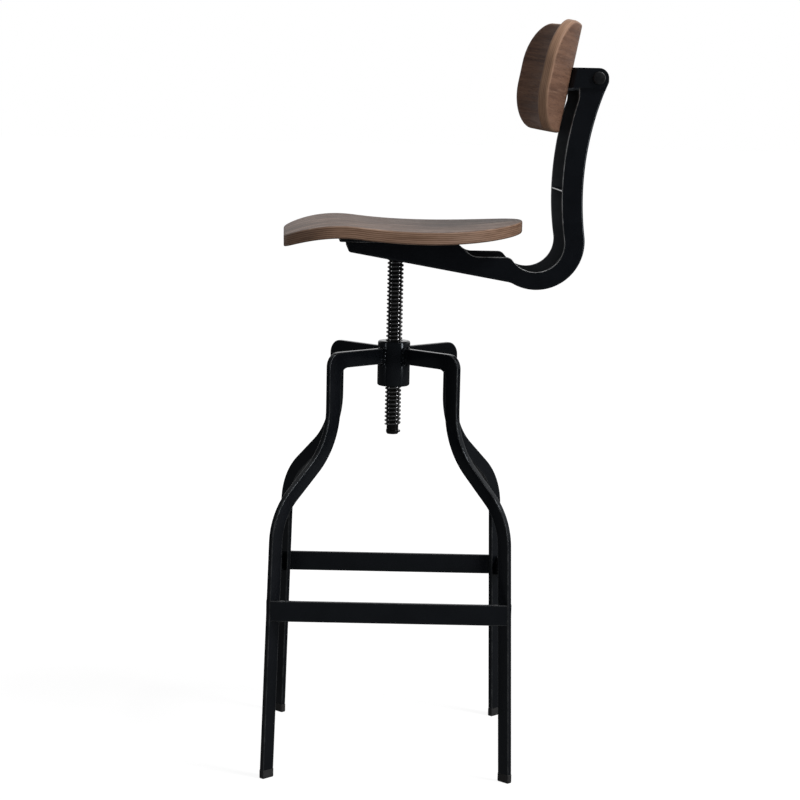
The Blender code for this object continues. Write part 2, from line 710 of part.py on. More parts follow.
def build_seat(swivel):
    shape = blank(seat_outline(), SEAT_THICKNESS * 0.7, SEAT_THICKNESS)
    round_rim(shape, SEAT_ARRIS)
    for vert in shape.verts:
        vert.co.z += seat_top(vert.co.x)
    seat = add_piece("seat", shape, WALNUT, swivel)

    half = CHANNEL_WIDTH / 2
    corners = [(-PLATE_FRONT, -half), (PLATE_REAR, -half), (PLATE_REAR, half), (-PLATE_FRONT, half)]
    plate_outline = rounded([(x, y, PLATE_CORNER) for x, y in corners])
    sheet = slab(plate_outline, PLATE_BOTTOM, PLATE_TOP, "XY")
    plate = add_piece("seat_plate", sheet, BLACK_PAINT, swivel)

    # A rubber strip packs the front of the plate up to the underside of the seat.
    front = PACKER_INSET - PLATE_FRONT
    steps = 6
    upper = [front + PACKER_LENGTH * i / steps for i in range(steps + 1)]
    profile = [(front, PLATE_TOP + SEAM), (front + PACKER_LENGTH, PLATE_TOP + SEAM)]
    profile += [(x, seat_top(x) - SEAT_THICKNESS - SEAM) for x in reversed(upper)]
    strip_shape = slab(profile, PACKER_INSET - half, half - PACKER_INSET)
    packer = add_piece("seat_packer", strip_shape, RUBBER, swivel)

    hole = SCREW_DIAMETER + 2 * PLAY
    for number, x, y in screw_places():
        underside = seat_top(x) - SEAT_THICKNESS
        length = underside + SCREW_BITE - PLATE_BOTTOM
        drill = rod(hole, PLATE_BOTTOM - SEAM, underside + SCREW_BITE + SEAM, 12)
        cutter = add_cutter(f"seat_screw_hole_{number}", drill, swivel, (x, y, 0))
        cut(seat, cutter)
        cut(plate, cutter)
        if x < 0:
            cut(packer, cutter)
        screw = headed_screw(SCREW_DIAMETER, SCREW_HEAD_DIAMETER, SCREW_HEAD_HEIGHT, length, 12)
        add_piece(f"seat_screw_{number}", screw, DARK_STEEL, swivel, (x, y, PLATE_BOTTOM - SEAM))
    return plate


# Back


BACK_MIDDLE = Vector((-BACK_SETBACK, 0, BACK_RISE))


def build_backrest(tilt):
    """The back is bent about an upright axis in front of it, then leans on its bracket."""
    lean = add_empty("back_lean", BACK_MIDDLE, tilt, (0, BACK_LEAN, 0))
    sweep = math.asin(BACK_WIDTH / 2 / BACK_RADIUS)
    length = 2 * sweep * BACK_REAR_RADIUS
    corners = [(sx * length / 2, sy * BACK_HEIGHT / 2) for sx, sy in ((1, 1), (-1, 1), (-1, -1), (1, -1))]
    shape = blank(rounded([(x, y, BACK_CORNER) for x, y in corners]), BACK_THICKNESS, BACK_THICKNESS)
    round_rim(shape, BACK_ARRIS)
    for vert in shape.verts:
        angle = vert.co.x / BACK_REAR_RADIUS
        radius = BACK_REAR_RADIUS + vert.co.z
        height = vert.co.y
        vert.co = (radius * math.cos(angle) - BACK_REAR_RADIUS, radius * math.sin(angle), height)
    return add_piece("backrest", shape, WALNUT, lean), lean


def bracket_path():
    """Middle line of the bracket's strip in plan, from the end of one arm round to the other's."""
    reach = CHANNEL_WIDTH / 2 + BRACKET_PLAY + BRACKET_SHEET / 2
    radius = BACK_REAR_RADIUS + SEAM + BRACKET_SHEET / 2
    start = BRACKET_HEIGHT / 2

    def web_x(y):
        sag = radius - math.sqrt(radius**2 - y**2)
        return BACK_MIDDLE.x + (SEAM + BRACKET_SHEET / 2 - sag) / math.cos(BACK_LEAN)

    turn = reach - BRACKET_BEND * 1.6
    across = [turn * (i / 6 - 1) for i in range(13)]
    path = [(start, -reach, 0), (web_x(-turn) - BRACKET_BEND * 0.35, -reach, BRACKET_BEND)]
    path += [(web_x(y), y, 0) for y in across]
    path += [(path[1][0], reach, BRACKET_BEND), (start, reach, 0)]
    return rounded(path, closed=False)


def strip(path, thickness):
    """Outline of a strip of even thickness along an open path."""
    left, right = [], []
    for i, point in enumerate(path):
        before = (point - path[i - 1]).normalized() if i else (path[1] - point).normalized()
        after = (path[i + 1] - point).normalized() if i + 1 < len(path) else before
        along = (before + after).normalized()
        side = Vector((-along.y, along.x)) * thickness / 2 / max(0.5, along.dot(before))
        left.append(point + side)
        right.append(point - side)
    return left + right[::-1]


def build_bracket(tilt):
    """A pressed clevis: its web lies against the leaning back, and its level arms straddle the post."""
    path = bracket_path()
    half = BRACKET_HEIGHT / 2
    shape = slab(strip(path, BRACKET_SHEET), -half, half, "XY")
    web = min(point.x for point in path)
    level_from = BACK_MIDDLE.x + BRACKET_BEND
    for vert in shape.verts:
        share = min(1.0, max(0.0, (level_from - vert.co.x) / BRACKET_BEND))
        vert.co.x += (vert.co.z - BACK_RISE) * math.tan(BACK_LEAN) * share
    bracket = add_piece("bracket", shape, BLACK_PAINT, tilt)

    # Seen from the side, each arm ends in a half round about the pivot.
    ahead = web - BRACKET_HEIGHT
    side = arc(Vector((0, 0)), half, -math.pi / 2, math.pi / 2)
    side += [Vector((ahead, half)), Vector((ahead, -half))]
    reach = CHANNEL_WIDTH
    cut(bracket, add_cutter("bracket_side", slab(side, -reach, reach), tilt), "INTERSECT")
    pin_hole = rod(PIVOT_DIAMETER + 2 * PLAY, -reach, reach, 20)
    cut(bracket, add_cutter("bracket_pivot_hole", pin_hole, tilt, turn=(math.pi / 2, 0, 0)))
    return bracket


def build_back_screws(lean, backrest, bracket):
    seat_radius = BACK_REAR_RADIUS + 2 * SEAM + BRACKET_SHEET / math.cos(BACK_LEAN)
    length = seat_radius - BACK_REAR_RADIUS + SCREW_BITE
    number = 0
    for spread in BACK_SCREW_SPREADS:
        for y in (-spread / 2, spread / 2):
            number += 1
            angle = math.asin(y / BACK_REAR_RADIUS)
            place = (
                seat_radius * math.cos(angle) - BACK_REAR_RADIUS,
                seat_radius * math.sin(angle),
                -BACK_RISE / math.cos(BACK_LEAN),
            )
            turn = (0, -math.pi / 2, angle)
            drill = rod(SCREW_DIAMETER + 2 * PLAY, -SCREW_HEAD_HEIGHT, length + SEAM, 12)
            cutter = add_cutter(f"back_screw_hole_{number}", drill, lean, place, turn)
            cut(backrest, cutter)
            cut(bracket, cutter)
            screw = headed_screw(SCREW_DIAMETER, SCREW_HEAD_DIAMETER, SCREW_HEAD_HEIGHT, length, 12)
            add_piece(f"back_screw_{number}", screw, DARK_STEEL, lean, place, turn)


def domed_end(shank, head, height, length):
    """A dome-headed bolt along Z: the head's seat is at z = 0, and the shank runs up from it."""
    rise = [math.radians(a) for a in (90, 65, 40, 15)]
    profile = [(head / 2 * math.cos(a), -height * math.sin(a)) for a in rise]
    profile[0] = (0, -height)
    profile += [(head / 2, 0), (shank / 2, 0), (shank / 2, length), (0, length)]
    return turned(profile, 20)


def build_pivot(swivel):
    tilt_axis = (PIVOT_X, 0, PIVOT_HEIGHT)
    seat = CHANNEL_WIDTH / 2 + BRACKET_PLAY + BRACKET_SHEET + SEAM
    half = CHANNEL_WIDTH / 2
    towards_far = (-math.pi / 2, 0, 0)
    towards_near = (math.pi / 2, 0, 0)
    bolt = domed_end(PIVOT_DIAMETER, PIVOT_HEAD_DIAMETER, PIVOT_HEAD_HEIGHT, 2 * seat + SEAM)
    add_piece("pivot_bolt", bolt, DARK_STEEL, swivel, (PIVOT_X, -seat, PIVOT_HEIGHT), towards_far)
    head, bore = PIVOT_HEAD_DIAMETER / 2, PIVOT_DIAMETER / 2 + PLAY
    rise = [math.radians(a) for a in (90, 65, 40, 15)]
    depth = PIVOT_HEAD_HEIGHT * 0.4
    dome = [(head * math.cos(a), -PIVOT_HEAD_HEIGHT * math.sin(a)) for a in rise]
    dome[0] = (0, -PIVOT_HEAD_HEIGHT)
    nut = turned(dome + [(head, 0), (bore, 0), (bore, -depth), (0, -depth)], 20)
    add_piece("pivot_nut", nut, DARK_STEEL, swivel, (PIVOT_X, seat, PIVOT_HEIGHT), towards_near)
    length = half - SHEET - SEAM
    tube = sleeve(TUBE_DIAMETER, PIVOT_DIAMETER + 2 * PLAY, -length, length, steps=20)
    add_piece("pivot_tube", tube, DARK_STEEL, swivel, tilt_axis, towards_far)


def world_points():
    bpy.context.view_layer.update()
    graph = bpy.context.evaluated_depsgraph_get()
    for piece in bpy.data.objects:
        if piece.type != "MESH" or piece.hide_render:
            continue
        evaluated = piece.evaluated_get(graph)
        mesh = evaluated.to_mesh()
        for vert in mesh.vertices:
            yield evaluated.matrix_world @ vert.co
        evaluated.to_mesh_clear()


def build_chair():
    chair = add_empty("chair")
    swivel = add_empty("swivel_axis", parent=chair, turn=(0, 0, SEAT_TURN))
    tilt = add_empty("tilt_axis", (PIVOT_X, 0, PIVOT_HEIGHT), swivel)
    build_base(chair)
    flange = build_lift(chair, swivel)
    build_spine(swivel)
    plate = build_seat(swivel)
    build_flange_bolts(swivel, flange, plate)
    backrest, lean = build_backrest(tilt)
    bracket = build_bracket(tilt)
    build_back_screws(lean, backrest, bracket)
    build_pivot(swivel)

    # The chair stands with the middle of its floor space on the origin.
    spots = list(world_points())
    chair.location.x = -(min(p.x for p in spots) + max(p.x for p in spots)) / 2
    bpy.context.view_layer.update()
    pivot = tilt.matrix_world.translation
    print("spindle axis x", round(swivel.matrix_world.translation.x, 6))
    print("pivot", [round(v, 6) for v in pivot])


build_chair()
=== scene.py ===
import json
import math

import bmesh
import bpy
from mathutils import Matrix, Vector
from mathutils.bvhtree import BVHTree
from mathutils.geometry import intersect_line_line

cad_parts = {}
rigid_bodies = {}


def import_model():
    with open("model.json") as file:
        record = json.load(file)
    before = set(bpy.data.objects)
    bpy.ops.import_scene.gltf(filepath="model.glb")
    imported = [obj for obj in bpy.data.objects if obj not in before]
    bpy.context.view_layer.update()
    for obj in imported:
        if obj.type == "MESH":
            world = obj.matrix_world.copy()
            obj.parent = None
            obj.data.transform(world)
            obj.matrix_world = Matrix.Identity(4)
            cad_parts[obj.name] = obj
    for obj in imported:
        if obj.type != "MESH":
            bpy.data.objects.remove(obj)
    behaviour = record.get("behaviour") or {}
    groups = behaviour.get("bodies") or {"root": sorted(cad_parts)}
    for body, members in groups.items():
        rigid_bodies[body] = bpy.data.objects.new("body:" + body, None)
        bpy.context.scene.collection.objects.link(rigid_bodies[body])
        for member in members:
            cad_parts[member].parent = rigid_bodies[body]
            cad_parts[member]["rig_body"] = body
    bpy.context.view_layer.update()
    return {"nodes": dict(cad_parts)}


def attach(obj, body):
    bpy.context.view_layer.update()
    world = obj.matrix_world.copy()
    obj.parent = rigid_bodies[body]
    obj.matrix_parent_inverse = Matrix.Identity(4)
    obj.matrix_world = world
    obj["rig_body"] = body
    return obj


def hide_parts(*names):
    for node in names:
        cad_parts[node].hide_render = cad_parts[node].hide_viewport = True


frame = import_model()
nodes = frame["nodes"]
scene = bpy.context.scene
print("frame loaded:", len(nodes), "nodes")


def moved(x, y=0, z=0):
    return Matrix.Translation((x, y, z))


def spun(degrees, axis="Z"):
    return Matrix.Rotation(math.radians(degrees), 4, axis)


# where the moving halves of the chair stand, in metres and degrees
stand = {
    "spindleX": -0.05954,
    "seatTurn": 3.0,
    "pivot": (0.223039, 0.014809, 1.0082),
    "gap": 0.0003,  # left between pieces that touch
}
spindleFrame = moved(stand["spindleX"])
swivelFrame = spindleFrame @ spun(stand["seatTurn"])
tiltFrame = moved(*stand["pivot"]) @ spun(stand["seatTurn"])

# kinds of socket, for shader and geometry trees alike
plainSockets = {float: "NodeSocketFloat", int: "NodeSocketInt"}
shapeSocket, objectSocket = "NodeSocketGeometry", "NodeSocketObject"


def feed(node, inputs):
    for name, value in inputs.items():
        if isinstance(value, bpy.types.NodeSocket):
            node.id_data.links.new(value, node.inputs[name])
        else:
            node.inputs[name].default_value = value


def addNode(tree, kind, inputs=None, **settings):
    # gives back the outputs of the new node
    made = tree.nodes.new(kind)
    for name, value in settings.items():
        setattr(made, name, value)
    feed(made, inputs or {})
    return made.outputs


# these find their tree from a socket they are given
def maths(operation, *values):
    tree = next(value.id_data for value in values if isinstance(value, bpy.types.NodeSocket))
    return addNode(tree, "ShaderNodeMath", dict(enumerate(values)), operation=operation)[0]


def times(value, *others):
    for other in others:
        value = maths("MULTIPLY", value, other)
    return value


def plus(one, other):
    return maths("ADD", one, other)


def minus(one, other):
    return maths("SUBTRACT", one, other)


def remap(value, low, high, toLow=0.0, toHigh=1.0, kind="SMOOTHSTEP"):
    inputs = {0: value, 1: low, 2: high, 3: toLow, 4: toHigh}
    return addNode(value.id_data, "ShaderNodeMapRange", inputs, interpolation_type=kind)[0]


def stretch(vector, *scale):
    inputs = {0: vector, 1: scale}
    return addNode(vector.id_data, "ShaderNodeVectorMath", inputs, operation="MULTIPLY")[0]


def noise(vector, scale, detail=2.0, rough=0.5):
    inputs = {"Vector": vector, "Scale": scale, "Detail": detail, "Roughness": rough}
    return addNode(vector.id_data, "ShaderNodeTexNoise", inputs)[0]


def layered(shade, layers):
    # lays each (share, colour) over what lies under it
    for share, over in layers:
        inputs = {0: share, 6: shade, 7: over}
        shade = addNode(share.id_data, "ShaderNodeMix", inputs, data_type="RGBA")[2]
    return shade


def colour(red, green, blue):
    return (red, green, blue, 1.0)


def newTree(kind, name, inputs, outputs):
    # an input comes with its default, or with the kind of its socket where it has none
    tree = bpy.data.node_groups.new(name, kind)
    identifiers = {}
    for label, value in inputs.items():
        socketKind = plainSockets.get(type(value), value)
        socket = tree.interface.new_socket(label, in_out="INPUT", socket_type=socketKind)
        if socketKind != value:
            socket.default_value = value
        identifiers[label] = socket.identifier
    for label, socketKind in outputs.items():
        tree.interface.new_socket(label, in_out="OUTPUT", socket_type=socketKind)
    given = tree.nodes.new("NodeGroupInput").outputs
    return tree, given, tree.nodes.new("NodeGroupOutput").inputs, identifiers


def newGroup(name, inputs, outputs):
    inputs = {"Vector": "NodeSocketVector", **inputs}
    outputs = dict.fromkeys(outputs, plainSockets[float])
    return newTree("ShaderNodeTree", name, inputs, outputs)[:3]


def makeGrainGroup():
    # wood figure along x, wandering a little
    inputs = {"Wander": 0.006, "Streak Scale": 55.0, "Line Scale": 330.0, "Fibre Scale": 1500.0}
    outputs = ("Streak", "Flame", "Fleck", "Line", "Fibre", "Pore")
    group, given, result = newGroup("woodGrain", inputs, outputs)
    drift = noise(stretch(given["Vector"], 5.0, 11.0, 11.0), 1.0)
    drift = times(minus(drift, 0.5), given["Wander"])
    shift = addNode(group, "ShaderNodeCombineXYZ", {1: drift, 2: drift})[0]
    inputs = {0: given["Vector"], 1: shift}
    along = addNode(group, "ShaderNodeVectorMath", inputs, operation="ADD")[0]
    bundle = times(given["Streak Scale"], 2.8)
    layers = {  # squeeze along the grain, scale, detail, roughness
        "Streak": (0.045, given["Streak Scale"], 3.0, 0.6),
        "Flame": (0.11, bundle, 2.0, 0.5),
        "Fleck": (0.26, given["Streak Scale"], 1.0, 0.5),
        "Line": (0.030, given["Line Scale"], 3.0, 0.6),
        "Fibre": (0.020, given["Fibre Scale"], 2.0, 0.7),
        "Pore": (0.055, given["Fibre Scale"], 1.0, 0.4),
    }
    for label, (squeeze, *texture) in layers.items():
        value = noise(stretch(along, squeeze, 1.0, 1.0), *texture)
        if label == "Pore":
            value = remap(value, 0.60, 0.70)  # only the open ones
        group.links.new(value, result[label])
    return group


def patchMask(group, given, result, where, texture, spread):
    # a mask broken up by noise
    patch = remap(noise(given["Vector"], given["Scale"], *texture), *spread)
    group.links.new(times(patch, where, given["Amount"]), result["Mask"])
    return group


def makeWearGroup():
    # rubbed spots along the arrises that the mesh marks, lightened also as a painted highlight
    inputs = {"Edge": 0.0, "Scale": 60.0, "Amount": 0.5}
    group, given, result = newGroup("edgeWear", inputs, ["Mask"])
    return patchMask(group, given, result, given["Edge"], (4.0, 0.65), (0.34, 0.66, 0.30, 1.0))


def makeDustGroup():
    # a faint film on what faces up
    group, given, result = newGroup("dustFilm", {"Scale": 25.0, "Amount": 0.3}, ["Mask"])
    normal = addNode(group, "ShaderNodeNewGeometry")["Normal"]
    up = addNode(group, "ShaderNodeSeparateXYZ", {0: normal})[2]
    lying = remap(up, 0.35, 1.0)
    return patchMask(group, given, result, lying, (5.0, 0.7), (0.30, 0.72, 0.35, 1.0))


grainGroup = makeGrainGroup()
wearAndHighlightGroup = makeWearGroup()
dustGroup = makeDustGroup()


def useGroup(tree, group, inputs):
    return addNode(tree, "ShaderNodeGroup", inputs, node_tree=group)


def newFinish(name):
    finish = bpy.data.materials.new(name)
    finish.use_nodes = True
    tree = finish.node_tree
    return finish, tree, tree.nodes["Principled BSDF"]


def bump(height, strength, distance):
    inputs = {"Height": height, "Strength": strength, "Distance": distance}
    return addNode(height.id_data, "ShaderNodeBump", inputs)[0]


def attribute(tree, name, output="Fac"):
    return addNode(tree, "ShaderNodeAttribute", attribute_name=name)[output]


def objectPlace(tree):
    return addNode(tree, "ShaderNodeTexCoord")["Object"]


paintLook = {
    "deep": colour(0.0039, 0.0046, 0.0060),
    "pale": colour(0.0053, 0.0062, 0.0080),
    "hollowPaintedLight": colour(0.072, 0.078, 0.086),  # painted light: lighter paint in the hollow of the spine
    # rubbed edge colour: wear, and a painted highlight along the edges
    "rubbedAndHighlight": colour(0.260, 0.261, 0.265),
    "dust": colour(0.045, 0.044, 0.042),
    "sheen": colour(0.84, 0.92, 1.0),
    "wearAndHighlight": 0.80,
    "film": 0.08,
    "gloss": (0.12, 0.17),
    "dullness": 0.4,  # added where there is dust, and in the hollow that is painted lighter
    "specular": 0.26,
    "peelScale": 380.0,
    "peelDepth": (0.012, 0.0003),
}


def makeBlackPaint():
    finish, tree, shader = newFinish("black_powder_coat")
    look, spot = paintLook, objectPlace(tree)
    cloud = noise(spot, 30.0, 4.0, 0.6)
    rubbedAndHighlight = {"Vector": spot, "Edge": attribute(tree, "arris"), "Amount": look["wearAndHighlight"]}
    wearAndHighlight = useGroup(tree, wearAndHighlightGroup, rubbedAndHighlight)["Mask"]
    dust = useGroup(tree, dustGroup, {"Vector": spot, "Amount": look["film"]})["Mask"]
    # the hollow of the spine is painted lighter, standing in for light that reaches into it
    hollowLightMask = times(attribute(tree, "enclosed"), remap(cloud, 0.2, 0.8, 0.7, 1.0))
    gloss = remap(noise(spot, 140.0, 3.0), 0.3, 0.7, *look["gloss"])
    dull = times(maths("MAXIMUM", dust, hollowLightMask), look["dullness"])
    feed(shader, {
        "Base Color": layered(look["deep"], [
            (remap(cloud, 0.3, 0.7), look["pale"]),
            (hollowLightMask, look["hollowPaintedLight"]),
            (wearAndHighlight, look["rubbedAndHighlight"]),
            (dust, look["dust"]),
        ]),
        "Roughness": plus(gloss, dull),
        "Specular IOR Level": look["specular"],
        "Specular Tint": look["sheen"],
        "Normal": bump(noise(spot, look["peelScale"]), *look["peelDepth"]),
    })
    return finish


steelLook = {
    "root": colour(0.006, 0.006, 0.007),
    "oil": colour(0.011, 0.0105, 0.010),
    "crest": colour(0.200, 0.200, 0.206),
    "metal": (0.70, 0.98),
    "gloss": (0.07, 0.14),
}


def makeThreadSteel():
    finish, tree, shader = newFinish("dark_screw_steel")
    look, spot = steelLook, objectPlace(tree)
    rub = remap(noise(spot, 220.0, 4.0, 0.7), 0.30, 0.70, 0.25, 1.0)
    shine = times(remap(attribute(tree, "tooth"), 0.45, 0.98), rub)
    film = remap(noise(spot, 45.0, 3.0), 0.35, 0.70)
    turned = noise(stretch(spot, 1.0, 1.0, 4.0), 500.0, 3.0, 0.6)
    feed(shader, {
        "Base Color": layered(look["root"], [(film, look["oil"]), (shine, look["crest"])]),
        "Metallic": remap(shine, 0.0, 1.0, *look["metal"], "LINEAR"),
        "Roughness": remap(film, 0.0, 1.0, *look["gloss"], "LINEAR"),
        "Normal": bump(turned, 0.06, 0.0003),
    })
    return finish


# textures are scale, detail and roughness
fastenerLook = {
    "deep": colour(0.0036, 0.0041, 0.0051),
    "pale": colour(0.0068, 0.0076, 0.0090),
    "cloud": (180.0, 4.0, 0.65),
    "dust": {"Scale": 60.0, "Amount": 0.04},
    "specular": 0.35,
    "gloss": (0.28, 0.40),
    "pits": (1600.0, 2.0, 0.5),
    "pitDepth": (0.08, 0.0002),
}
rubberLook = {
    "deep": colour(0.017, 0.017, 0.0175),
    "pale": colour(0.026, 0.026, 0.0265),
    "cloud": (90.0, 4.0, 0.7),
    "dust": {"Scale": 120.0, "Amount": 0.2},
    "specular": 0.3,
    "gloss": (0.68, 0.82),
    "pits": (1300.0, 3.0, 0.6),
    "pitDepth": (0.25, 0.0003),
}


def makePitted(name, look):
    finish, tree, shader = newFinish(name)
    spot = objectPlace(tree)
    cloud = remap(noise(spot, *look["cloud"]), 0.3, 0.7)
    dust = useGroup(tree, dustGroup, {"Vector": spot, **look["dust"]})["Mask"]
    shades = [(cloud, look["pale"]), (dust, paintLook["dust"])]
    feed(shader, {
        "Base Color": layered(look["deep"], shades),
        "Specular IOR Level": look["specular"],
        "Roughness": remap(cloud, 0.0, 1.0, *look["gloss"], "LINEAR"),
        "Normal": bump(noise(spot, *look["pits"]), *look["pitDepth"]),
    })
    return finish


plyLook = {
    "pore": colour(0.050, 0.026, 0.017),
    "glue": colour(0.070, 0.040, 0.026),
    "plyCount": 13.0,
    "waver": 0.55,  # how far the layers wander, in layers
    "wearAndHighlight": {"Scale": 45.0, "Amount": 0.36},
    "specular": 0.20,
    "gloss": (0.46, 0.60),
    "grainDepth": (0.22, 0.0004),
}
# one stained plywood in two colourings, painted light and shade: the back and its rim lighter for
# the light that falls on them, the seat's pale streaks greyed partly as painted sheen
seatVeneer = {
    "dark": colour(0.062, 0.035, 0.025),
    "middle": colour(0.152, 0.094, 0.069),
    "light": colour(0.430, 0.315, 0.248),
    "rimLight": colour(0.268, 0.166, 0.112),
    "rimDark": colour(0.122, 0.068, 0.043),
    "streakScale": 34.0,
    "flame": 0.74,
    "fleck": 0.60,
}
backVeneer = {
    "dark": colour(0.095, 0.048, 0.031),
    "middle": colour(0.186, 0.100, 0.064),
    "light": colour(0.255, 0.152, 0.104),
    "rimLight": colour(0.400, 0.246, 0.162),
    "rimDark": colour(0.270, 0.156, 0.100),
    "streakScale": 90.0,
    "flame": 0.45,
    "fleck": 0.0,
}


def makePlywood(name, thickness, look):
    finish, tree, shader = newFinish(name)
    place = attribute(tree, "grainPlace", "Vector")
    figure = useGroup(tree, grainGroup, {"Vector": place, "Streak Scale": look["streakScale"]})

    def part(label, low, high, most=1.0):
        return remap(figure[label], low, high, 0.0, most)

    def lined(label, low, high, most, lineLow, lineHigh):
        return times(part(label, low, high, most), part("Line", lineLow, lineHigh))

    # veneer of the two broad faces
    veneer = layered(look["dark"], [
        (part("Streak", 0.30, 0.62), look["middle"]),
        (part("Line", 0.48, 0.76, 0.4), look["light"]),
        (part("Line", 0.44, 0.26, 0.4), look["dark"]),
        # bundles of pale lines, short pale flecks and bundles of dark lines
        (lined("Flame", 0.51, 0.61, look["flame"], 0.42, 0.56), look["light"]),
        (lined("Fleck", 0.60, 0.68, look["fleck"], 0.40, 0.52), look["light"]),
        (lined("Flame", 0.47, 0.37, look["flame"], 0.58, 0.42), look["dark"]),
        (part("Fibre", 0.35, 0.65, 0.25), look["middle"]),
        (times(figure["Pore"], 0.55), plyLook["pore"]),
    ])
    # layers along the rim, with a glue line between each two
    waver = minus(noise(stretch(place, 1.0, 1.0, 6.0), 22.0, 3.0), 0.5)
    depth = addNode(tree, "ShaderNodeSeparateXYZ", {0: place})[2]
    layer = times(depth, -plyLook["plyCount"] / thickness)
    layer = plus(layer, times(waver, plyLook["waver"]))
    layer = maths("PINGPONG", layer, 1.0)
    seam = maths("ABSOLUTE", minus(layer, 0.5))
    grit = noise(stretch(place, 60.0, 60.0, 900.0), 1.0, 4.0, 0.65)
    patch = noise(stretch(place, 14.0, 14.0, 190.0), 1.0, 2.0, 0.6)
    edge = layered(look["rimDark"], [
        (remap(layer, 0.30, 0.70), look["rimLight"]),
        (remap(grit, 0.40, 0.68, 0.0, 0.6), look["rimLight"]),
        (remap(grit, 0.46, 0.28, 0.0, 0.5), look["rimDark"]),
        (remap(seam, 0.0, 0.12, 0.42, 0.0), plyLook["glue"]),
        (remap(patch, 0.50, 0.72, 0.0, 0.55), look["rimDark"]),
        (remap(patch, 0.46, 0.30, 0.0, 0.45), look["rimLight"]),
    ])
    # the arrises lightened to the rim's light colour: wear and a painted highlight
    rubbedAndHighlight = {"Vector": place, "Edge": attribute(tree, "arris"), **plyLook["wearAndHighlight"]}
    wearAndHighlight = useGroup(tree, wearAndHighlightGroup, rubbedAndHighlight)["Mask"]
    gloss = remap(figure["Line"], 0.3, 0.7, *plyLook["gloss"])
    height = minus(times(figure["Fibre"], 0.5), figure["Pore"])
    height = plus(height, times(figure["Line"], 0.6))
    shades = [(attribute(tree, "rim"), edge), (wearAndHighlight, look["rimLight"])]
    feed(shader, {
        "Base Color": layered(veneer, shades),
        "Roughness": plus(gloss, times(figure["Pore"], 0.12)),
        "Specular IOR Level": plyLook["specular"],
        "Normal": bump(height, *plyLook["grainDepth"]),
    })
    return finish


blackPaint = makeBlackPaint()
threadSteel = makeThreadSteel()
fastenerSteel = makePitted("black_fastener_steel", fastenerLook)
rubber = makePitted("grey_black_rubber", rubberLook)
print("finishes made")


# shared mesh steps
def placed(name, data):
    made = bpy.data.objects.new(name, data)
    scene.collection.objects.link(made)
    return made


def addPiece(name, mesh, body, slot, *stoodFor):
    piece = placed(name, mesh)
    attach(piece, body)
    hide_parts(*stoodFor)


def toMesh(shape, name, finish, sharpAngle=math.radians(40)):
    mesh = bpy.data.meshes.new(name)
    shape.to_mesh(mesh)
    shape.free()
    mesh.materials.append(finish)
    mesh.polygons.foreach_set("use_smooth", [True] * len(mesh.polygons))
    if sharpAngle:
        mesh.set_sharp_from_angle(angle=sharpAngle)
    return mesh


def plainMesh(worker, name):
    # the evaluated result of a worker's modifiers, as a mesh of its own
    bpy.context.view_layer.update()
    graph = bpy.context.evaluated_depsgraph_get()
    mesh = bpy.data.meshes.new_from_object(worker.evaluated_get(graph), depsgraph=graph)
    mesh.name = name
    old = worker.data
    bpy.data.objects.remove(worker)
    if old.users == 0:
        bpy.data.meshes.remove(old)
    return mesh


def evenNormals(name, mesh):
    # normals weighted by face size, so that flats stay flat beside their rounds
    worker = placed(name + "_worker", mesh)
    worker.modifiers.new("normals", "WEIGHTED_NORMAL").keep_sharp = True
    return plainMesh(worker, name)


def mark(mesh, name, values, domain="FACE", kind="FLOAT"):
    field = "vector" if kind == "FLOAT_VECTOR" else "value"
    mesh.attributes.new(name, kind, domain).data.foreach_set(field, values)


def markRubbedAndHighlight(mesh, amount, fade=lambda face: 1.0):
    # until here the second material index stands for the edges that get rubbed and a painted
    # highlight
    mark(mesh, "arris", [amount * fade(f) * (f.material_index == 1) for f in mesh.polygons])
    mesh.polygons.foreach_set("material_index", [0] * len(mesh.polygons))


def skin(shape, loops):
    # quads between each two neighbouring loops, a row for each pair
    rows = []
    for one, other in zip(loops, loops[1:]):
        corners = zip(one, one[1:] + one[:1], other[1:] + other[:1], other)
        rows.append([shape.faces.new(four) for four in corners])
    return rows


def fan(shape, middle, loop):
    for one, other in zip(loop, loop[1:] + loop[:1]):
        shape.faces.new((middle, one, other))


def faceOut(shape):
    bmesh.ops.recalc_face_normals(shape, faces=shape.faces)


def shares(count, first=0):
    return [i / count for i in range(first, count + 1)]


def between(one, other, share):
    return one + (other - one) * share


def onArc(centre, radius, angle):
    return Vector(centre) + radius * Vector((math.cos(angle), math.sin(angle)))


def arcPoints(centre, radius, start, end, steps):
    turns = [math.radians(between(start, end, s)) for s in shares(steps)]
    return [onArc(centre, radius, a) for a in turns]


def circle(centre, radius, steps):
    return [onArc(centre, radius, math.tau * i / steps) for i in range(steps)]


quarterTurn = [math.radians(90 * s) for s in shares(6)]


def turnedMesh(name, profile, steps, finish, place=Matrix.Identity(4)):
    # a closed (r, z) profile about the z axis; a point on the axis becomes a pole
    shape = bmesh.new()
    rings = []
    for r, z in profile:
        spots = circle((0, 0), r, steps if r > 1e-9 else 1)
        rings.append([shape.verts.new((*spot, z)) for spot in spots])
    closing = rings[:1] if len(rings[0]) > 1 else []
    for one, other in zip(rings, rings[1:] + closing):
        one, other = (ring if len(ring) > 1 else ring * steps for ring in (one, other))
        for corners in zip(one, one[1:] + one[:1], other[1:] + other[:1], other):
            shape.faces.new(list(dict.fromkeys(corners)))
    faceOut(shape)
    bmesh.ops.transform(shape, verts=shape.verts, matrix=place)
    return toMesh(shape, name, finish)


def filleted(points, rounds, steps=14):
    # an open line of points with an arc at each inner corner
    result = [points[0]]
    for i, radius in enumerate(rounds):
        here = points[i + 1]
        before, after = points[i] - here, points[i + 2] - here
        half = before.angle(after) / 2
        run = min(radius / math.tan(half), 0.49 * before.length, 0.49 * after.length)
        before, after = before.normalized(), after.normalized()
        middle = here + (before + after).normalized() * run / math.cos(half)
        one, other = here + before * run - middle, here + after * run - middle
        sweep = one.angle_signed(other)
        result += [middle + Matrix.Rotation(-sweep * s, 2) @ one for s in shares(steps)]
    return result + [points[-1]]


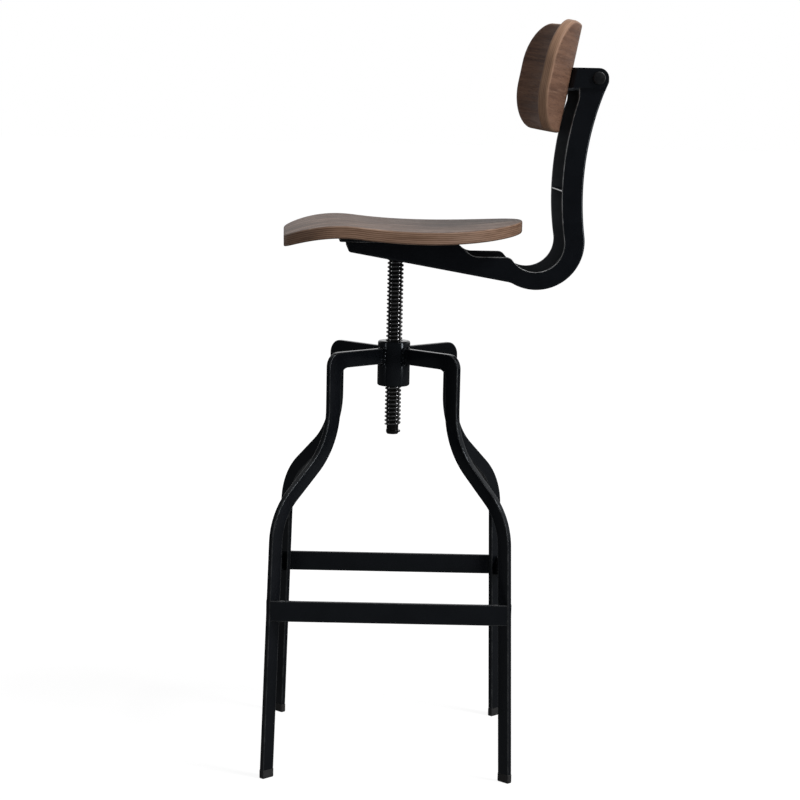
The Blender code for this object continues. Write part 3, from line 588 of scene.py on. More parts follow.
# plywood seat and back: a flat blank with a rounded rim, bent by a rule
seatPanel = {
    "width": 0.338, "thickness": 0.0177, "front": 0.1655, "rear": 0.1848,
    "corner": 0.075, "arris": 0.0025, "dishX": 0.043, "dishHeight": 0.7890,
    "dishRadius": 0.900, "crownRise": 0.0072, "crownRadius": 0.206, "rings": 34,
}
backPanel = {
    "chord": 0.294, "height": 0.1593, "thickness": 0.016, "radius": 0.276,
    "corner": 0.064, "arris": 0.004, "lean": 10.8, "setback": 0.0347,
    "rise": -0.0022, "rings": 26,
}
outlineStep = {"arc": 0.0022, "straight": 0.003}


def seatTop(x):
    dish, crown = seatPanel["dishRadius"], seatPanel["crownRadius"]
    dishX, dishHeight, rise = (seatPanel[n] for n in ("dishX", "dishHeight", "crownRise"))
    reach = dish + crown
    across = math.sqrt(reach**2 - (reach - rise) ** 2)
    if x < dishX - across * dish / reach:
        fall = crown - math.sqrt(crown**2 - (x - dishX + across) ** 2)
        return dishHeight + rise - fall
    return dishHeight + dish - math.sqrt(dish**2 - (x - dishX) ** 2)


def outlineArc(centre, radius, start, end):
    length = math.radians(end - start) * radius
    return arcPoints(centre, radius, start, end, max(4, math.ceil(length / outlineStep["arc"])))


def spreadOut(points):
    # adds points along straight runs, so that a bend across them stays smooth
    result = []
    for one, other in zip(points, points[1:] + points[:1]):
        count = max(1, math.ceil((other - one).length / outlineStep["straight"]))
        result += [one.lerp(other, s) for s in shares(count)[:-1]]
    return result


def seatOutline():
    half, corner = seatPanel["width"] / 2, seatPanel["corner"]
    frontX = corner - seatPanel["front"]
    points = outlineArc((seatPanel["rear"] - half, 0), half, -90, 90)
    points += outlineArc((frontX, half - corner), corner, 90, 180)
    points += outlineArc((frontX, corner - half), corner, 180, 270)
    return spreadOut(points)


def backOutline():
    sweep = math.asin(backPanel["chord"] / 2 / backPanel["radius"])
    half = sweep * (backPanel["radius"] + backPanel["thickness"])
    tall, corner = backPanel["height"] / 2, backPanel["corner"]
    points = []
    for sx, sy, start in ((1, 1, 0), (-1, 1, 90), (-1, -1, 180), (1, -1, 270)):
        centre = (sx * (half - corner), sy * (tall - corner))
        points += outlineArc(centre, corner, start, start + 90)
    return spreadOut(points)


def panelMesh(name, outline, panel, bend, finish):
    arris, thick = panel["arris"], panel["thickness"]
    outward = []
    for before, after in zip(outline[-1:] + outline[:-1], outline[1:] + outline[:1]):
        along = after - before
        outward.append(Vector((along.y, -along.x)).normalized())
    # from the middle of one face over the rim to the middle of the other:
    # scale, inset, depth, and the marks for rim and arris
    flat = shares(panel["rings"], 1)[:-1]
    over = []
    for a in quarterTurn:
        rim = math.sin(a)
        marks = (rim**2, math.sin(math.pi * rim) ** 2)
        over.append((arris * (1 - rim), arris * (1 - math.cos(a)), *marks))
    sections = [(scale, arris, 0, 0, 0) for scale in flat]
    sections += [(1, inset, -depth, *marks) for inset, depth, *marks in over]
    sections += [(1, 0, -between(arris, thick - arris, s), 1, 0) for s in shares(6, 1)[:-1]]
    sections += [(1, inset, depth - thick, *marks) for inset, depth, *marks in reversed(over)]
    sections += [(scale, arris, -thick, 0, 0) for scale in reversed(flat)]
    shape = bmesh.new()
    blank, rimMarks, arrisMarks = [], [], []

    def addVert(x, y, depth, rim=0, edge=0):
        blank.extend((x, y, depth))
        rimMarks.append(rim)
        arrisMarks.append(edge)
        return shape.verts.new(bend(x, y, depth))

    first = addVert(0, 0, 0)
    loops = []
    for scale, inset, *rest in sections:
        ring = [(p - n * inset) * scale for p, n in zip(outline, outward)]
        loops.append([addVert(*spot, *rest) for spot in ring])
    last = addVert(0, 0, -thick)
    skin(shape, loops)
    fan(shape, first, loops[0])
    fan(shape, last, loops[-1])
    faceOut(shape)
    mesh = toMesh(shape, name, finish, None)
    mark(mesh, "grainPlace", blank, "POINT", "FLOAT_VECTOR")
    mark(mesh, "rim", rimMarks, "POINT")
    mark(mesh, "arris", arrisMarks, "POINT")
    return mesh


def bendSeat(x, y, depth):
    return swivelFrame @ Vector((x, y, seatTop(x) + depth))


leanFrame = tiltFrame @ moved(-backPanel["setback"], 0, backPanel["rise"])
leanFrame = leanFrame @ spun(backPanel["lean"], "Y")
backRear = backPanel["radius"] + backPanel["thickness"]


def bendBack(x, y, depth):
    spot = onArc((-backRear, 0), backRear + depth, x / backRear)
    return leanFrame @ Vector((*spot, y))


seatPly = makePlywood("stained_plywood_seat", seatPanel["thickness"], seatVeneer)
backPly = makePlywood("stained_plywood_back", backPanel["thickness"], backVeneer)
seatMesh = panelMesh("seat_panel", seatOutline(), seatPanel, bendSeat, seatPly)
addPiece("seat_panel", seatMesh, "swivel", "stained_plywood", "seat")
backMesh = panelMesh("back_panel", backOutline(), backPanel, bendBack, backPly)
addPiece("back_panel", backMesh, "back", "stained_plywood", "backrest")
print("plywood:", len(seatMesh.polygons), "and", len(backMesh.polygons), "faces")


# painted steel and rubber: the CAD shapes with small rounds on their edges
softEdges = {
    "black_paint": {
        "finish": blackPaint,
        "rounds": {
            "rail": 0.00035, "seat_plate": 0.0007, "spindle_flange": 0.0008, "bracket": 0.0006,
        },
        "wearAndHighlight": {"rail": 0.25, "bracket": 0.5},
    },
    "rubber": {"finish": rubber, "rounds": {"foot": 0.0006, "seat_packer": 0.0006}},
    "dark_steel": {"finish": threadSteel, "rounds": {"stop_ring": 0.0004}},
    "fastener_steel": {"finish": fastenerSteel, "rounds": {"pivot_tube": 0.0005}},
}
roundRule = {
    "weld": 2e-6, "flat": math.radians(0.4), "sharp": math.radians(34),
    "holeSize": 0.0165, "segments": 3,  # the pivot tube's rims, 16 mm wide, stay sharp
}


def longEdges(shape):
    # sharp edges in chains that reach further than a hole's rim
    inner = [e for e in shape.edges if len(e.link_faces) == 2]
    sharp = [e for e in inner if e.calc_face_angle() > roundRule["sharp"]]
    left, chosen = set(sharp), []
    for start in sharp:  # in the mesh's own order, the same each run
        if start not in left:
            continue
        left.remove(start)
        chain, stack = [], [start]
        while stack:
            chain.append(stack.pop())
            joined = {e for vert in chain[-1].verts for e in vert.link_edges if e in left}
            left -= joined
            stack += joined
        spots = [vert.co for edge in chain for vert in edge.verts]
        if max((spot - spots[0]).length for spot in spots) > roundRule["holeSize"]:
            chosen += chain
    return chosen


def softenedMesh(name, width, finish, rubbedAndHighlight):
    shape = bmesh.new()
    shape.from_mesh(nodes[name].data)
    bmesh.ops.remove_doubles(shape, verts=shape.verts, dist=roundRule["weld"])
    bmesh.ops.dissolve_limit(
        shape, angle_limit=roundRule["flat"], verts=shape.verts, edges=shape.edges
    )
    weights = shape.edges.layers.float.new("bevel_weight_edge")
    for edge in longEdges(shape):
        edge[weights] = 1.0
    worker = placed(name + "_worker", toMesh(shape, name + "_worker", finish, None))
    worker.data.materials.append(finish)
    edges = worker.modifiers.new("edges", "BEVEL")
    edges.width = width
    edges.segments = roundRule["segments"]
    edges.limit_method = "WEIGHT"
    edges.material = 1
    edges.use_clamp_overlap = True
    worker.modifiers.new("normals", "WEIGHTED_NORMAL")
    mesh = plainMesh(worker, name + "_soft")
    markRubbedAndHighlight(mesh, rubbedAndHighlight)
    mesh.materials.pop()
    return mesh


for slotName, group in softEdges.items():
    for name in sorted(nodes):
        for kind, width in group["rounds"].items():
            if name == kind or name.startswith(kind + "_"):
                rubbedAndHighlight = group.get("wearAndHighlight", {}).get(kind, 1.0)
                mesh = softenedMesh(name, width, group["finish"], rubbedAndHighlight)
                addPiece(name + "_soft", mesh, nodes[name]["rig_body"], slotName, name)
print("edges softened")


# spine: one pressed sheet, lofted between the line of its web and the free edges of its flanges
spineSheet = {
    "half": 0.065, "sheet": 0.0025, "bend": 0.0032,
    # channel under the seat
    "front": -0.0723, "frontRound": 0.0035, "top": 0.7667, "floor": 0.7403,
    "slope": math.radians(9.76), "spindleHole": 0.0126, "holeReach": 0.755,
    # step behind the seat
    "stepHeight": 0.7492, "stepStart": 0.108, "stepRise": math.radians(40),
    "stepRound": 0.012, "riseRound": 0.024, "floorShare": 1 / 3,
    # hook and post
    "blend": 0.025, "hook": (0.2008, 0.7717), "hookRadius": 0.0698, "hookLip": (0.1992, 0.7692),
    "post": (0.69023, 0.8402), "postRadius": 0.4244, "webTop": 0.9902,
    "waist": (0.2347, 0.8402), "lipRadius": 0.480, "lipLowRadius": 0.400,
    # ears
    "flare": (0.9690, 0.9870), "earTop": 1.0187, "earFront": 0.2549, "earShoulder": 1.0027,
    "earRounds": (0.0055, 0.011), "pivot": (0.28296, 1.0082), "pivotHole": 0.0053,
    # rubbed edges with a painted highlight, from where the seat's shade no longer covers them
    "rubbedAndHighlight": 1.2, "pastSeatShade": (0.078, 0.100),
    # how finely each stretch is drawn
    "rimSteps": 6, "frontSteps": 8, "flatSteps": 20, "noseSteps": 12, "hookSteps": 44,
    "postSteps": 70, "earSteps": 24, "holeSteps": 48,
}
# how the hollow of the spine is felt out, by rays
hollow = {"reach": 0.16, "leans": (0.0, 0.35, 0.7, 1.0), "rays": 8, "lift": 0.0004, "gain": 1.6}


def arcX(centreX, radius, height):
    # the hollow side of an upright arc whose middle lies at the waist
    return centreX - math.sqrt(radius**2 - (height - spineSheet["waist"][1]) ** 2)


def roundDrop(radius, past):
    # how far a round corner has fallen away, a given way past its start
    return radius - math.sqrt(max(0.0, radius**2 - max(0.0, past) ** 2))


def eased(value, low, high):
    share = min(1.0, max(0.0, (value - low) / (high - low)))
    return share * share * (3 - 2 * share)


def lipX(height):
    waistX, waistZ = spineSheet["waist"]
    radius = spineSheet["lipRadius"] if height > waistZ else spineSheet["lipLowRadius"]
    flare = eased(height, *spineSheet["flare"])
    return between(arcX(waistX + radius, radius, height), spineSheet["earFront"], flare)


def angleOf(vector):
    return math.atan2(vector.y, vector.x)


def spineStations():
    # pairs of points, on the web and on the free edge, from the front up to the end of the web
    look = spineSheet
    hook, hookLip, post = (Vector(look[name]) for name in ("hook", "hookLip", "post"))
    front, top, stepHeight = look["front"], look["top"], look["stepHeight"]
    lowCentre = Vector(look["waist"]) + Vector((look["lipLowRadius"], 0))
    lipRound = (lowCentre - hookLip).length - look["lipLowRadius"]
    noseZ = stepHeight - look["stepRound"]
    ahead = math.sqrt((lipRound + look["stepRound"]) ** 2 - (hookLip.y - noseZ) ** 2)
    nose = Vector((hookLip.x - ahead, noseZ))

    def onFloor(x):
        rise = roundDrop(look["frontRound"], look["frontRound"] - (x - front))
        return Vector((x, look["floor"] - x * math.tan(look["slope"]) + rise))

    flatStart = front + look["frontRound"]
    flatEnd = look["stepStart"] - (top - stepHeight) / math.tan(look["stepRise"])
    xs = [between(front, flatStart, s * s) for s in shares(look["frontSteps"])]
    xs += [between(flatStart, flatEnd, s) for s in shares(look["flatSteps"], 1)]
    lip = [Vector((x, top)) for x in xs]
    corners = [(look["stepStart"], stepHeight), (nose.x, stepHeight)]
    lip += filleted([lip[-1]] + [Vector(spot) for spot in corners], [look["riseRound"]])[1:]
    stations = [(onFloor(point.x), point) for point in lip]
    # over the nose of the step
    along = onArc((0, 0), 1, -look["slope"])
    up = Vector((-along.y, along.x))
    root = Vector((0, look["floor"]))
    rise, run = (hook - root).dot(up), (hook - root).dot(along)
    reach = (look["hookRadius"] + look["blend"]) ** 2 - (rise + look["blend"]) ** 2
    floorEnd = root + along * (run - math.sqrt(reach))
    blend = floorEnd - up * look["blend"]
    blendStart, blendEnd, meet = angleOf(up), angleOf(hook - blend), angleOf(hookLip - nose)
    floorShare = look["floorShare"]
    for s in shares(look["noseSteps"], 1):
        if s <= floorShare:
            web = onFloor(between(nose.x, floorEnd.x, s / floorShare))
        else:
            turned = (s - floorShare) / (1 - floorShare)
            web = onArc(blend, look["blend"], between(blendStart, blendEnd, turned))
        stations.append((web, onArc(nose, look["stepRound"], between(math.pi / 2, meet, s))))
    # round the hook and up the post
    leave, lipLeave = angleOf(post - hook), angleOf(lowCentre - hookLip)
    for s in shares(look["hookSteps"], 1):
        web = onArc(hook, look["hookRadius"], between(blendEnd - math.pi, leave, s))
        stations.append((web, onArc(hookLip, lipRound, between(meet - math.pi, lipLeave, s))))
    lows = [point.y for point in stations[-1]]
    for s in shares(look["postSteps"], 1):
        high, height = (between(low, look["webTop"], s) for low in lows)
        web = Vector((arcX(post.x, look["postRadius"], high), high))
        stations.append((web, Vector((lipX(height), height))))
    return stations


def edgeRound(lip, inwards):
    # half round of a sheet's free edge, from its inner to its outer face,
    # as a side view point and a depth
    radius = spineSheet["sheet"] / 2
    middle = lip + inwards * radius
    turns = [math.pi * (1 - s) for s in shares(spineSheet["rimSteps"])]
    return [(middle - inwards * radius * math.sin(a), radius * (1 - math.cos(a))) for a in turns]


def channelRing(web, lip):
    half, sheet, bend = (spineSheet[name] for name in ("half", "sheet", "bend"))
    inwards = (web - lip).normalized()
    heart = web - inwards * bend

    def bendOf(radius):
        return [(heart + inwards * radius * math.sin(a), bend - radius * math.cos(a))
                for a in quarterTurn]

    faces = (edgeRound(lip, inwards) + bendOf(bend), bendOf(bend - sheet))
    near, nearInner = ([(spot.x, depth - half, spot.y) for spot, depth in face] for face in faces)
    far, farInner = ([(x, -y, z) for x, y, z in face] for face in (near, nearInner))
    return near + far[::-1] + farInner + nearInner[::-1]


def earRing(height, side):
    look = spineSheet
    frontRound, rearRound = look["earRounds"]
    front = lipX(height) + roundDrop(frontRound, height - look["earTop"] + frontRound)
    rear = arcX(look["post"][0], look["postRadius"], min(height, look["earShoulder"]))
    rear -= roundDrop(rearRound, height - look["earTop"] + rearRound)
    ring = edgeRound(Vector((front, height)), Vector((1, 0)))
    behind = edgeRound(Vector((rear, height)), Vector((-1, 0)))
    ring += [(spot, look["sheet"] - depth) for spot, depth in behind]
    return [(spot.x, (depth - look["half"]) * side, spot.y) for spot, depth in ring]


def loftMesh(name, rings, rubbedAndHighlightSides, place=swivelFrame, plainRows=0, holes=()):
    # closed loft through rings of equal count, with round holes of (matrix, radius, reach);
    # the last rows may stay without the rubbed sides that carry a painted highlight
    shape = bmesh.new()
    loops = [[shape.verts.new(place @ Vector(spot)) for spot in ring] for ring in rings]
    rows = skin(shape, loops)
    for row in rows[: len(rows) - plainRows]:
        for i in rubbedAndHighlightSides:
            row[i].material_index = 1
    ends = [shape.faces.new(loops[0]), shape.faces.new(loops[-1])]
    bmesh.ops.triangulate(shape, faces=ends)
    faceOut(shape)
    worker = placed(name + "_worker", toMesh(shape, name + "_worker", blackPaint))
    cutters = []
    for matrix, radius, reach in holes:
        profile = [(0, -reach), (radius, -reach), (radius, reach), (0, reach)]
        steps = spineSheet["holeSteps"]
        pin = turnedMesh(name + "_pin", profile, steps, blackPaint, place @ matrix)
        cutters.append(placed(name + "_pin", pin))
        hole = worker.modifiers.new("hole", "BOOLEAN")
        hole.operation, hole.solver, hole.object = "DIFFERENCE", "EXACT", cutters[-1]
    mesh = plainMesh(worker, name)
    for cutter in cutters:
        bpy.data.meshes.remove(cutter.data)
    return mesh


def markEnclosed(mesh):
    # share of a fan of rays round each face's normal that meets the piece again, used to paint
    # light into the hollow
    faces = mesh.polygons
    tree = BVHTree.FromPolygons([v.co for v in mesh.vertices], [f.vertices for f in faces])
    tries = [(lean, i) for lean in hollow["leans"] for i in range(hollow["rays"] if lean else 1)]
    marks = []
    for face in faces:
        start = face.center + face.normal * hollow["lift"]
        side = face.normal.orthogonal().normalized()
        met = 0
        for lean, i in tries:
            ray = Matrix.Rotation(lean, 3, side) @ face.normal
            ray = Matrix.Rotation(math.tau * i / hollow["rays"], 3, face.normal) @ ray
            met += tree.ray_cast(start, ray, hollow["reach"])[0] is not None
        marks.append(min(1.0, met / len(tries) * hollow["gain"]))
    mark(mesh, "enclosed", marks)


def spineMesh():
    look = spineSheet
    lip = look["rimSteps"]
    farEnd = 2 * (lip + 1 + len(quarterTurn)) - 1  # where the outer face of the far flange ends
    lips = [*range(lip), *range(farEnd - lip, farEnd)]
    rings = [channelRing(web, edge) for web, edge in spineStations()]
    upright = (Matrix.Identity(4), look["spindleHole"], look["holeReach"])
    parts = [loftMesh("spine_channel", rings, lips, holes=[upright])]
    pivotX, pivotZ = look["pivot"]
    across = (moved(pivotX, 0, pivotZ) @ spun(90, "X"), look["pivotHole"], 2 * look["half"])
    turns = [math.sin(s * math.pi / 2) for s in shares(look["earSteps"])]
    heights = [between(look["webTop"], look["earTop"], s) for s in turns]
    for side in (1, -1):
        rings = [earRing(height, side) for height in heights]
        parts.append(loftMesh("spine_ear", rings, range(lip), holes=[across]))
    shape = bmesh.new()
    for part in parts:
        shape.from_mesh(part)
        bpy.data.meshes.remove(part)
    mesh = evenNormals("spine_pressed", toMesh(shape, "spine_joined", blackPaint))
    home = swivelFrame.inverted()
    # the free edges are lightened as a painted highlight, fading in past the seat's shade
    markRubbedAndHighlight(mesh, look["rubbedAndHighlight"], lambda face: eased((home @ face.center).x, *look["pastSeatShade"]))
    markEnclosed(mesh)
    return mesh


addPiece("spine_pressed", spineMesh(), "swivel", "black_paint", "spine")
print("spine pressed")


# stiffener: a cross plate in the channel whose rounded nose shows between the flanges
stiffenerPlate = {
    "front": 0.2351, "rear": 0.2604, "low": 0.8437, "high": 0.8467, "half": 0.0622,
    # its nose takes the rubbed colour, a painted highlight as well as wear
    "noseSteps": 12, "rubbedAndHighlight": 0.5,
}


def stiffenerMesh():
    rear, low, high, half = (stiffenerPlate[name] for name in ("rear", "low", "high", "half"))
    nose = (high - low) / 2
    centre = (stiffenerPlate["front"] + nose, low + nose)
    steps = stiffenerPlate["noseSteps"]
    outline = arcPoints(centre, nose, 90, 270, steps) + [(rear, low), (rear, high)]
    rings = [[(x, y, z) for x, z in outline] for y in (-half, half)]
    mesh = loftMesh("stiffener_plate", rings, range(steps))
    markRubbedAndHighlight(mesh, stiffenerPlate["rubbedAndHighlight"])
    return mesh


addPiece("stiffener_plate", stiffenerMesh(), "swivel", "black_paint", "spine_stiffener")
print("stiffener set")


# legs: flat bar cut to a curved outline, lofted between its outer and inner edges
legBar = {
    "start": 0.0241, "armTop": 0.6085, "shoulder": 0.1334, "waist": 0.4803,
    "knee": (0.2391, 0.3883), "foot": (0.2528, 0.0126),
    "widths": (0.0233, 0.0230, 0.021, 0.020), "thickness": 0.008, "edge": 0.0014,
    "outerRounds": (0.020, 0.100, 0.100), "innerRounds": (0.014, 0.123, 0.080),
    "edgeSteps": 4, "socket": 0.0023, "socketDepth": 0.0123, "rubbedAndHighlight": 0.16,
}
legTurns = {"rear_far": 45, "front_far": 135, "front_near": 225, "rear_near": 315}


def legEdges():
    start, top, shoulder, waist = (legBar[n] for n in ("start", "armTop", "shoulder", "waist"))
    knee, foot = legBar["knee"], legBar["foot"]
    outer = [(start, top), (shoulder, top), (shoulder, waist), knee, foot]
    outer = [Vector(point) for point in outer]
    sides = []
    for one, other, width in zip(outer, outer[1:], legBar["widths"]):
        along = (other - one).normalized()
        inwards = Vector((along.y, -along.x)) * width
        sides.append(((one + inwards).to_3d(), (other + inwards).to_3d()))
    inner = [sides[0][0].to_2d()]
    for one, other in zip(sides, sides[1:]):
        inner.append(intersect_line_line(*one, *other)[0].to_2d())
    high, low = (point.to_2d() for point in sides[-1])
    inner.append(high.lerp(low, (high.y - foot[1]) / (high.y - low.y)))
    return filleted(outer, legBar["outerRounds"]), filleted(inner, legBar["innerRounds"])


def legMesh(name, degrees):
    outer, inner = legEdges()
    edge, steps = legBar["edge"], legBar["edgeSteps"]
    half = legBar["thickness"] / 2 - edge
    turns = []
    for sx, sy, start in ((1, 1, 0), (-1, 1, 90), (-1, -1, 180), (1, -1, 270)):
        turns += [(sx, sy, math.radians(start + 90 * s)) for s in shares(steps)]
    rings = []
    for out, inn in zip(outer, inner):
        across, middle = (out - inn) / 2, (out + inn) / 2
        wide, along = across.length - edge, across.normalized()
        ring = []
        for sx, sy, angle in turns:
            spot = middle + along * (sx * wide + edge * math.cos(angle))
            ring.append((spot.x, sy * half + edge * math.sin(angle), spot.y))
        rings.append(ring)
    # socket for the stem of the foot
    stem = circle(((outer[-1].x + inner[-1].x) / 2, 0), legBar["socket"], len(turns))
    low = outer[-1].y
    rings += [[(*spot, z) for spot in stem] for z in (low, low + legBar["socketDepth"])]
    rounds = [i for i in range(len(turns)) if i % (steps + 1) < steps]
    mesh = loftMesh(name + "_loft", rings, rounds, spindleFrame @ spun(degrees), 2)
    mesh = evenNormals(name, mesh)
    markRubbedAndHighlight(mesh, legBar["rubbedAndHighlight"])
    return mesh


for corner, degrees in legTurns.items():
    mesh = legMesh(f"leg_{corner}_bar", degrees)
    addPiece(f"leg_{corner}_bar", mesh, "base", "black_paint", f"leg_{corner}")
print("legs lofted")


# hub and pivot ends, turned
hubTurned = {
    "radius": 0.024, "bore": 0.0123, "top": 0.6185, "height": 0.067, "round": 0.0030,
    "mouth": 0.0012, "roundSteps": 5, "steps": 96,
}
pivotTurned = {
    "head": 0.0092, "rise": 0.005, "shank": 0.005, "round": 0.0016, "seat": 0.0689,
    "depth": 0.002, "crown": 0.20, "crownSteps": 8, "steps": 64,
}


def makeHub():
    radius, bore, lip, mouth = (hubTurned[name] for name in ("radius", "bore", "round", "mouth"))
    top, low = hubTurned["top"], hubTurned["top"] - hubTurned["height"]
    steps = hubTurned["roundSteps"]
    profile = [(bore, low + mouth), (bore + mouth, low)]
    profile += arcPoints((radius - lip, low + lip), lip, -90, 0, steps)
    profile += arcPoints((radius - lip, top - lip), lip, 0, 90, steps)
    profile += [(bore + mouth, top), (bore, top - mouth)]
    return turnedMesh("hub_turned", profile, hubTurned["steps"], blackPaint, spindleFrame)


def makePivotEnd(name, side, inner, end):
    # a low dome that rolls over into an upright rim, then the shank or the bore
    head, rise, lip = (pivotTurned[part] for part in ("head", "rise", "round"))
    sag = (rise - lip) * pivotTurned["crown"]
    profile = [((head - lip) * s, sag * s * s - rise) for s in shares(pivotTurned["crownSteps"])]
    rolled = [(math.sin(a), 1 - math.cos(a)) for a in quarterTurn[1:]]
    profile += [(head - lip + lip * x, sag - rise + lip * z) for x, z in rolled]
    profile += [(head, 0), (inner, 0), (inner, end), (0, end)]
    place = tiltFrame @ moved(0, side * pivotTurned["seat"]) @ spun(90 * side, "X")
    return turnedMesh(name, profile, pivotTurned["steps"], fastenerSteel, place)


addPiece("hub_turned", makeHub(), "base", "black_paint", "hub")
pivotShank, pivotGap = pivotTurned["shank"], stand["gap"]
boltMesh = makePivotEnd("pivot_bolt_turned", -1, pivotShank, 2 * pivotTurned["seat"] + pivotGap)
addPiece("pivot_bolt_turned", boltMesh, "swivel", "fastener_steel", "pivot_bolt")
nutMesh = makePivotEnd("pivot_nut_turned", 1, pivotShank + pivotGap, -pivotTurned["depth"])
addPiece("pivot_nut_turned", nutMesh, "swivel", "fastener_steel", "pivot_nut")
print("hub and pivot turned")


# geometry node helpers
def newShapeTree(name, inputs):
    inputs = {"Geometry": shapeSocket, **inputs, "Finish": "NodeSocketMaterial"}
    return newTree("GeometryNodeTree", name, inputs, {"Geometry": shapeSocket})


def finishTree(tree, given, result, geometry, smooth=True):
    if smooth:
        geometry = addNode(tree, "GeometryNodeSetShadeSmooth", {"Geometry": geometry})[0]
    real = addNode(tree, "GeometryNodeRealizeInstances", {"Geometry": geometry})[0]
    inputs = {"Geometry": real, "Material": given["Finish"]}
    tree.links.new(addNode(tree, "GeometryNodeSetMaterial", inputs)[0], result[0])


def grown(tree, sockets, values, name, source=None):
    worker = placed(name + "_worker", source or bpy.data.meshes.new(name + "_worker"))
    modifier = worker.modifiers.new(name, "NODES")
    modifier.node_group = tree
    for label, value in values.items():
        modifier[sockets[label]] = value
    return plainMesh(worker, name)


# lifting screw: one tooth profile swept along a helix
screwThread = {
    "Pitch": 0.006, "Crest Radius": 0.012, "Root Radius": 0.0096, "Low": 0.4870, "Turns": 48.0,
    "Turn Steps": 40, "Tooth Steps": 12,
}
screwTip = {
    "bottom": 0.4788, "radius": 0.0088, "chamfer": 0.001, "grooveRadius": 0.0068,
    "ringLow": 0.4817, "ringHigh": 0.4848, "threadEnd": 0.4928, "overlap": 0.0004, "top": 0.7667,
    "steps": 64,
}


def makeThreadTree():
    tree, given, result, sockets = newShapeTree("screwThread", screwThread)
    grid = addNode(tree, "GeometryNodeMeshGrid", {
        "Size X": 1.0, "Size Y": 1.0,
        "Vertices X": plus(times(given["Turns"], given["Turn Steps"]), 1.0),
        "Vertices Y": plus(given["Tooth Steps"], 1.0),
    })["Mesh"]
    place = addNode(tree, "GeometryNodeInputPosition")[0]
    split = addNode(tree, "ShaderNodeSeparateXYZ", {0: place})
    turn = times(plus(split[0], 0.5), given["Turns"])
    share = plus(split[1], 0.5)
    # flank up, crest and flank down over one pitch
    tooth = minus(remap(share, 0.10, 0.36), remap(share, 0.64, 0.90))
    depth = minus(given["Crest Radius"], given["Root Radius"])
    radius = plus(given["Root Radius"], times(tooth, depth))
    angle = times(turn, math.tau)
    spot = addNode(tree, "ShaderNodeCombineXYZ", {
        0: plus(times(radius, maths("COSINE", angle)), stand["spindleX"]),
        1: times(radius, maths("SINE", angle)),
        2: plus(times(plus(turn, share), given["Pitch"]), given["Low"]),
    })[0]
    inputs = {"Geometry": grid, "Name": "tooth", "Value": tooth}
    marked = addNode(
        tree, "GeometryNodeStoreNamedAttribute", inputs, data_type="FLOAT", domain="POINT"
    )[0]
    swept = addNode(tree, "GeometryNodeSetPosition", {"Geometry": marked, "Position": spot})[0]
    inputs = {"Geometry": swept, "Distance": 0.00002}
    finishTree(tree, given, result, addNode(tree, "GeometryNodeMergeByDistance", inputs)[0])
    return tree, sockets


def makeSpindle():
    tree, sockets = makeThreadTree()
    thread = grown(tree, sockets, {**screwThread, "Finish": threadSteel}, "screw_thread")
    shape = bmesh.new()
    shape.from_mesh(thread)
    # both ends are cut square and closed
    threadEnd = screwTip["threadEnd"]
    for height, away in ((threadEnd, (0, 0, -1)), (screwTip["top"], (0, 0, 1))):
        bmesh.ops.bisect_plane(
            shape, geom=shape.verts[:] + shape.edges[:] + shape.faces[:],
            plane_co=(0, 0, height), plane_no=away, clear_outer=True,
        )
        rim = [edge for edge in shape.edges if edge.is_boundary]
        rim = [edge for edge in rim if abs(edge.verts[0].co.z - height) < 1e-6]
        bmesh.ops.contextual_create(shape, geom=rim)
    faceOut(shape)
    tip, chamfer, groove = screwTip["radius"], screwTip["chamfer"], screwTip["grooveRadius"]
    low, ringLow, ringHigh = screwTip["bottom"], screwTip["ringLow"], screwTip["ringHigh"]
    tipEnd = threadEnd + screwTip["overlap"]
    profile = [(0, low), (tip - chamfer, low), (tip, low + chamfer), (tip, ringLow)]
    profile += [(groove, ringLow), (groove, ringHigh), (tip, ringHigh), (tip, tipEnd), (0, tipEnd)]
    end = turnedMesh("screw_tip", profile, screwTip["steps"], threadSteel, spindleFrame)
    shape.from_mesh(end)
    for used in (end, thread):
        bpy.data.meshes.remove(used)
    return toMesh(shape, "lifting_screw", threadSteel, math.radians(50))


spindleMesh = makeSpindle()
addPiece("lifting_screw", spindleMesh, "swivel", "dark_steel", "spindle")
print("lifting screw:", len(spindleMesh.polygons), "faces")


# screws and bolts: a recessed head and a shank set on marked points
woodScrew = {
    "headRadius": 0.0045, "headHeight": 0.0028, "dome": 0.0008, "shankRadius": 0.002,
    "armLong": 0.0026, "armWide": 0.00055, "recess": 0.0016,
}
flangeBolt = {
    "headRadius": 0.00525, "headHeight": 0.004, "dome": 0.0, "shankRadius": 0.003,
    "keyAcross": 0.005, "recess": 0.0024,
}
headRule = {"lip": 0.35, "taper": 0.86, "pit": 1.1, "steps": 96}  # shares of the head's sizes


def crossEdge(angle):
    wide, long = woodScrew["armWide"], woodScrew["armLong"]
    c, s = max(abs(math.cos(angle)), 1e-6), max(abs(math.sin(angle)), 1e-6)
    return max(min(long / c, wide / s), min(wide / c, long / s))


def hexEdge(angle):
    local = (angle + math.pi / 6) % (math.pi / 3) - math.pi / 6
    return flangeBolt["keyAcross"] / 2 / math.cos(local)


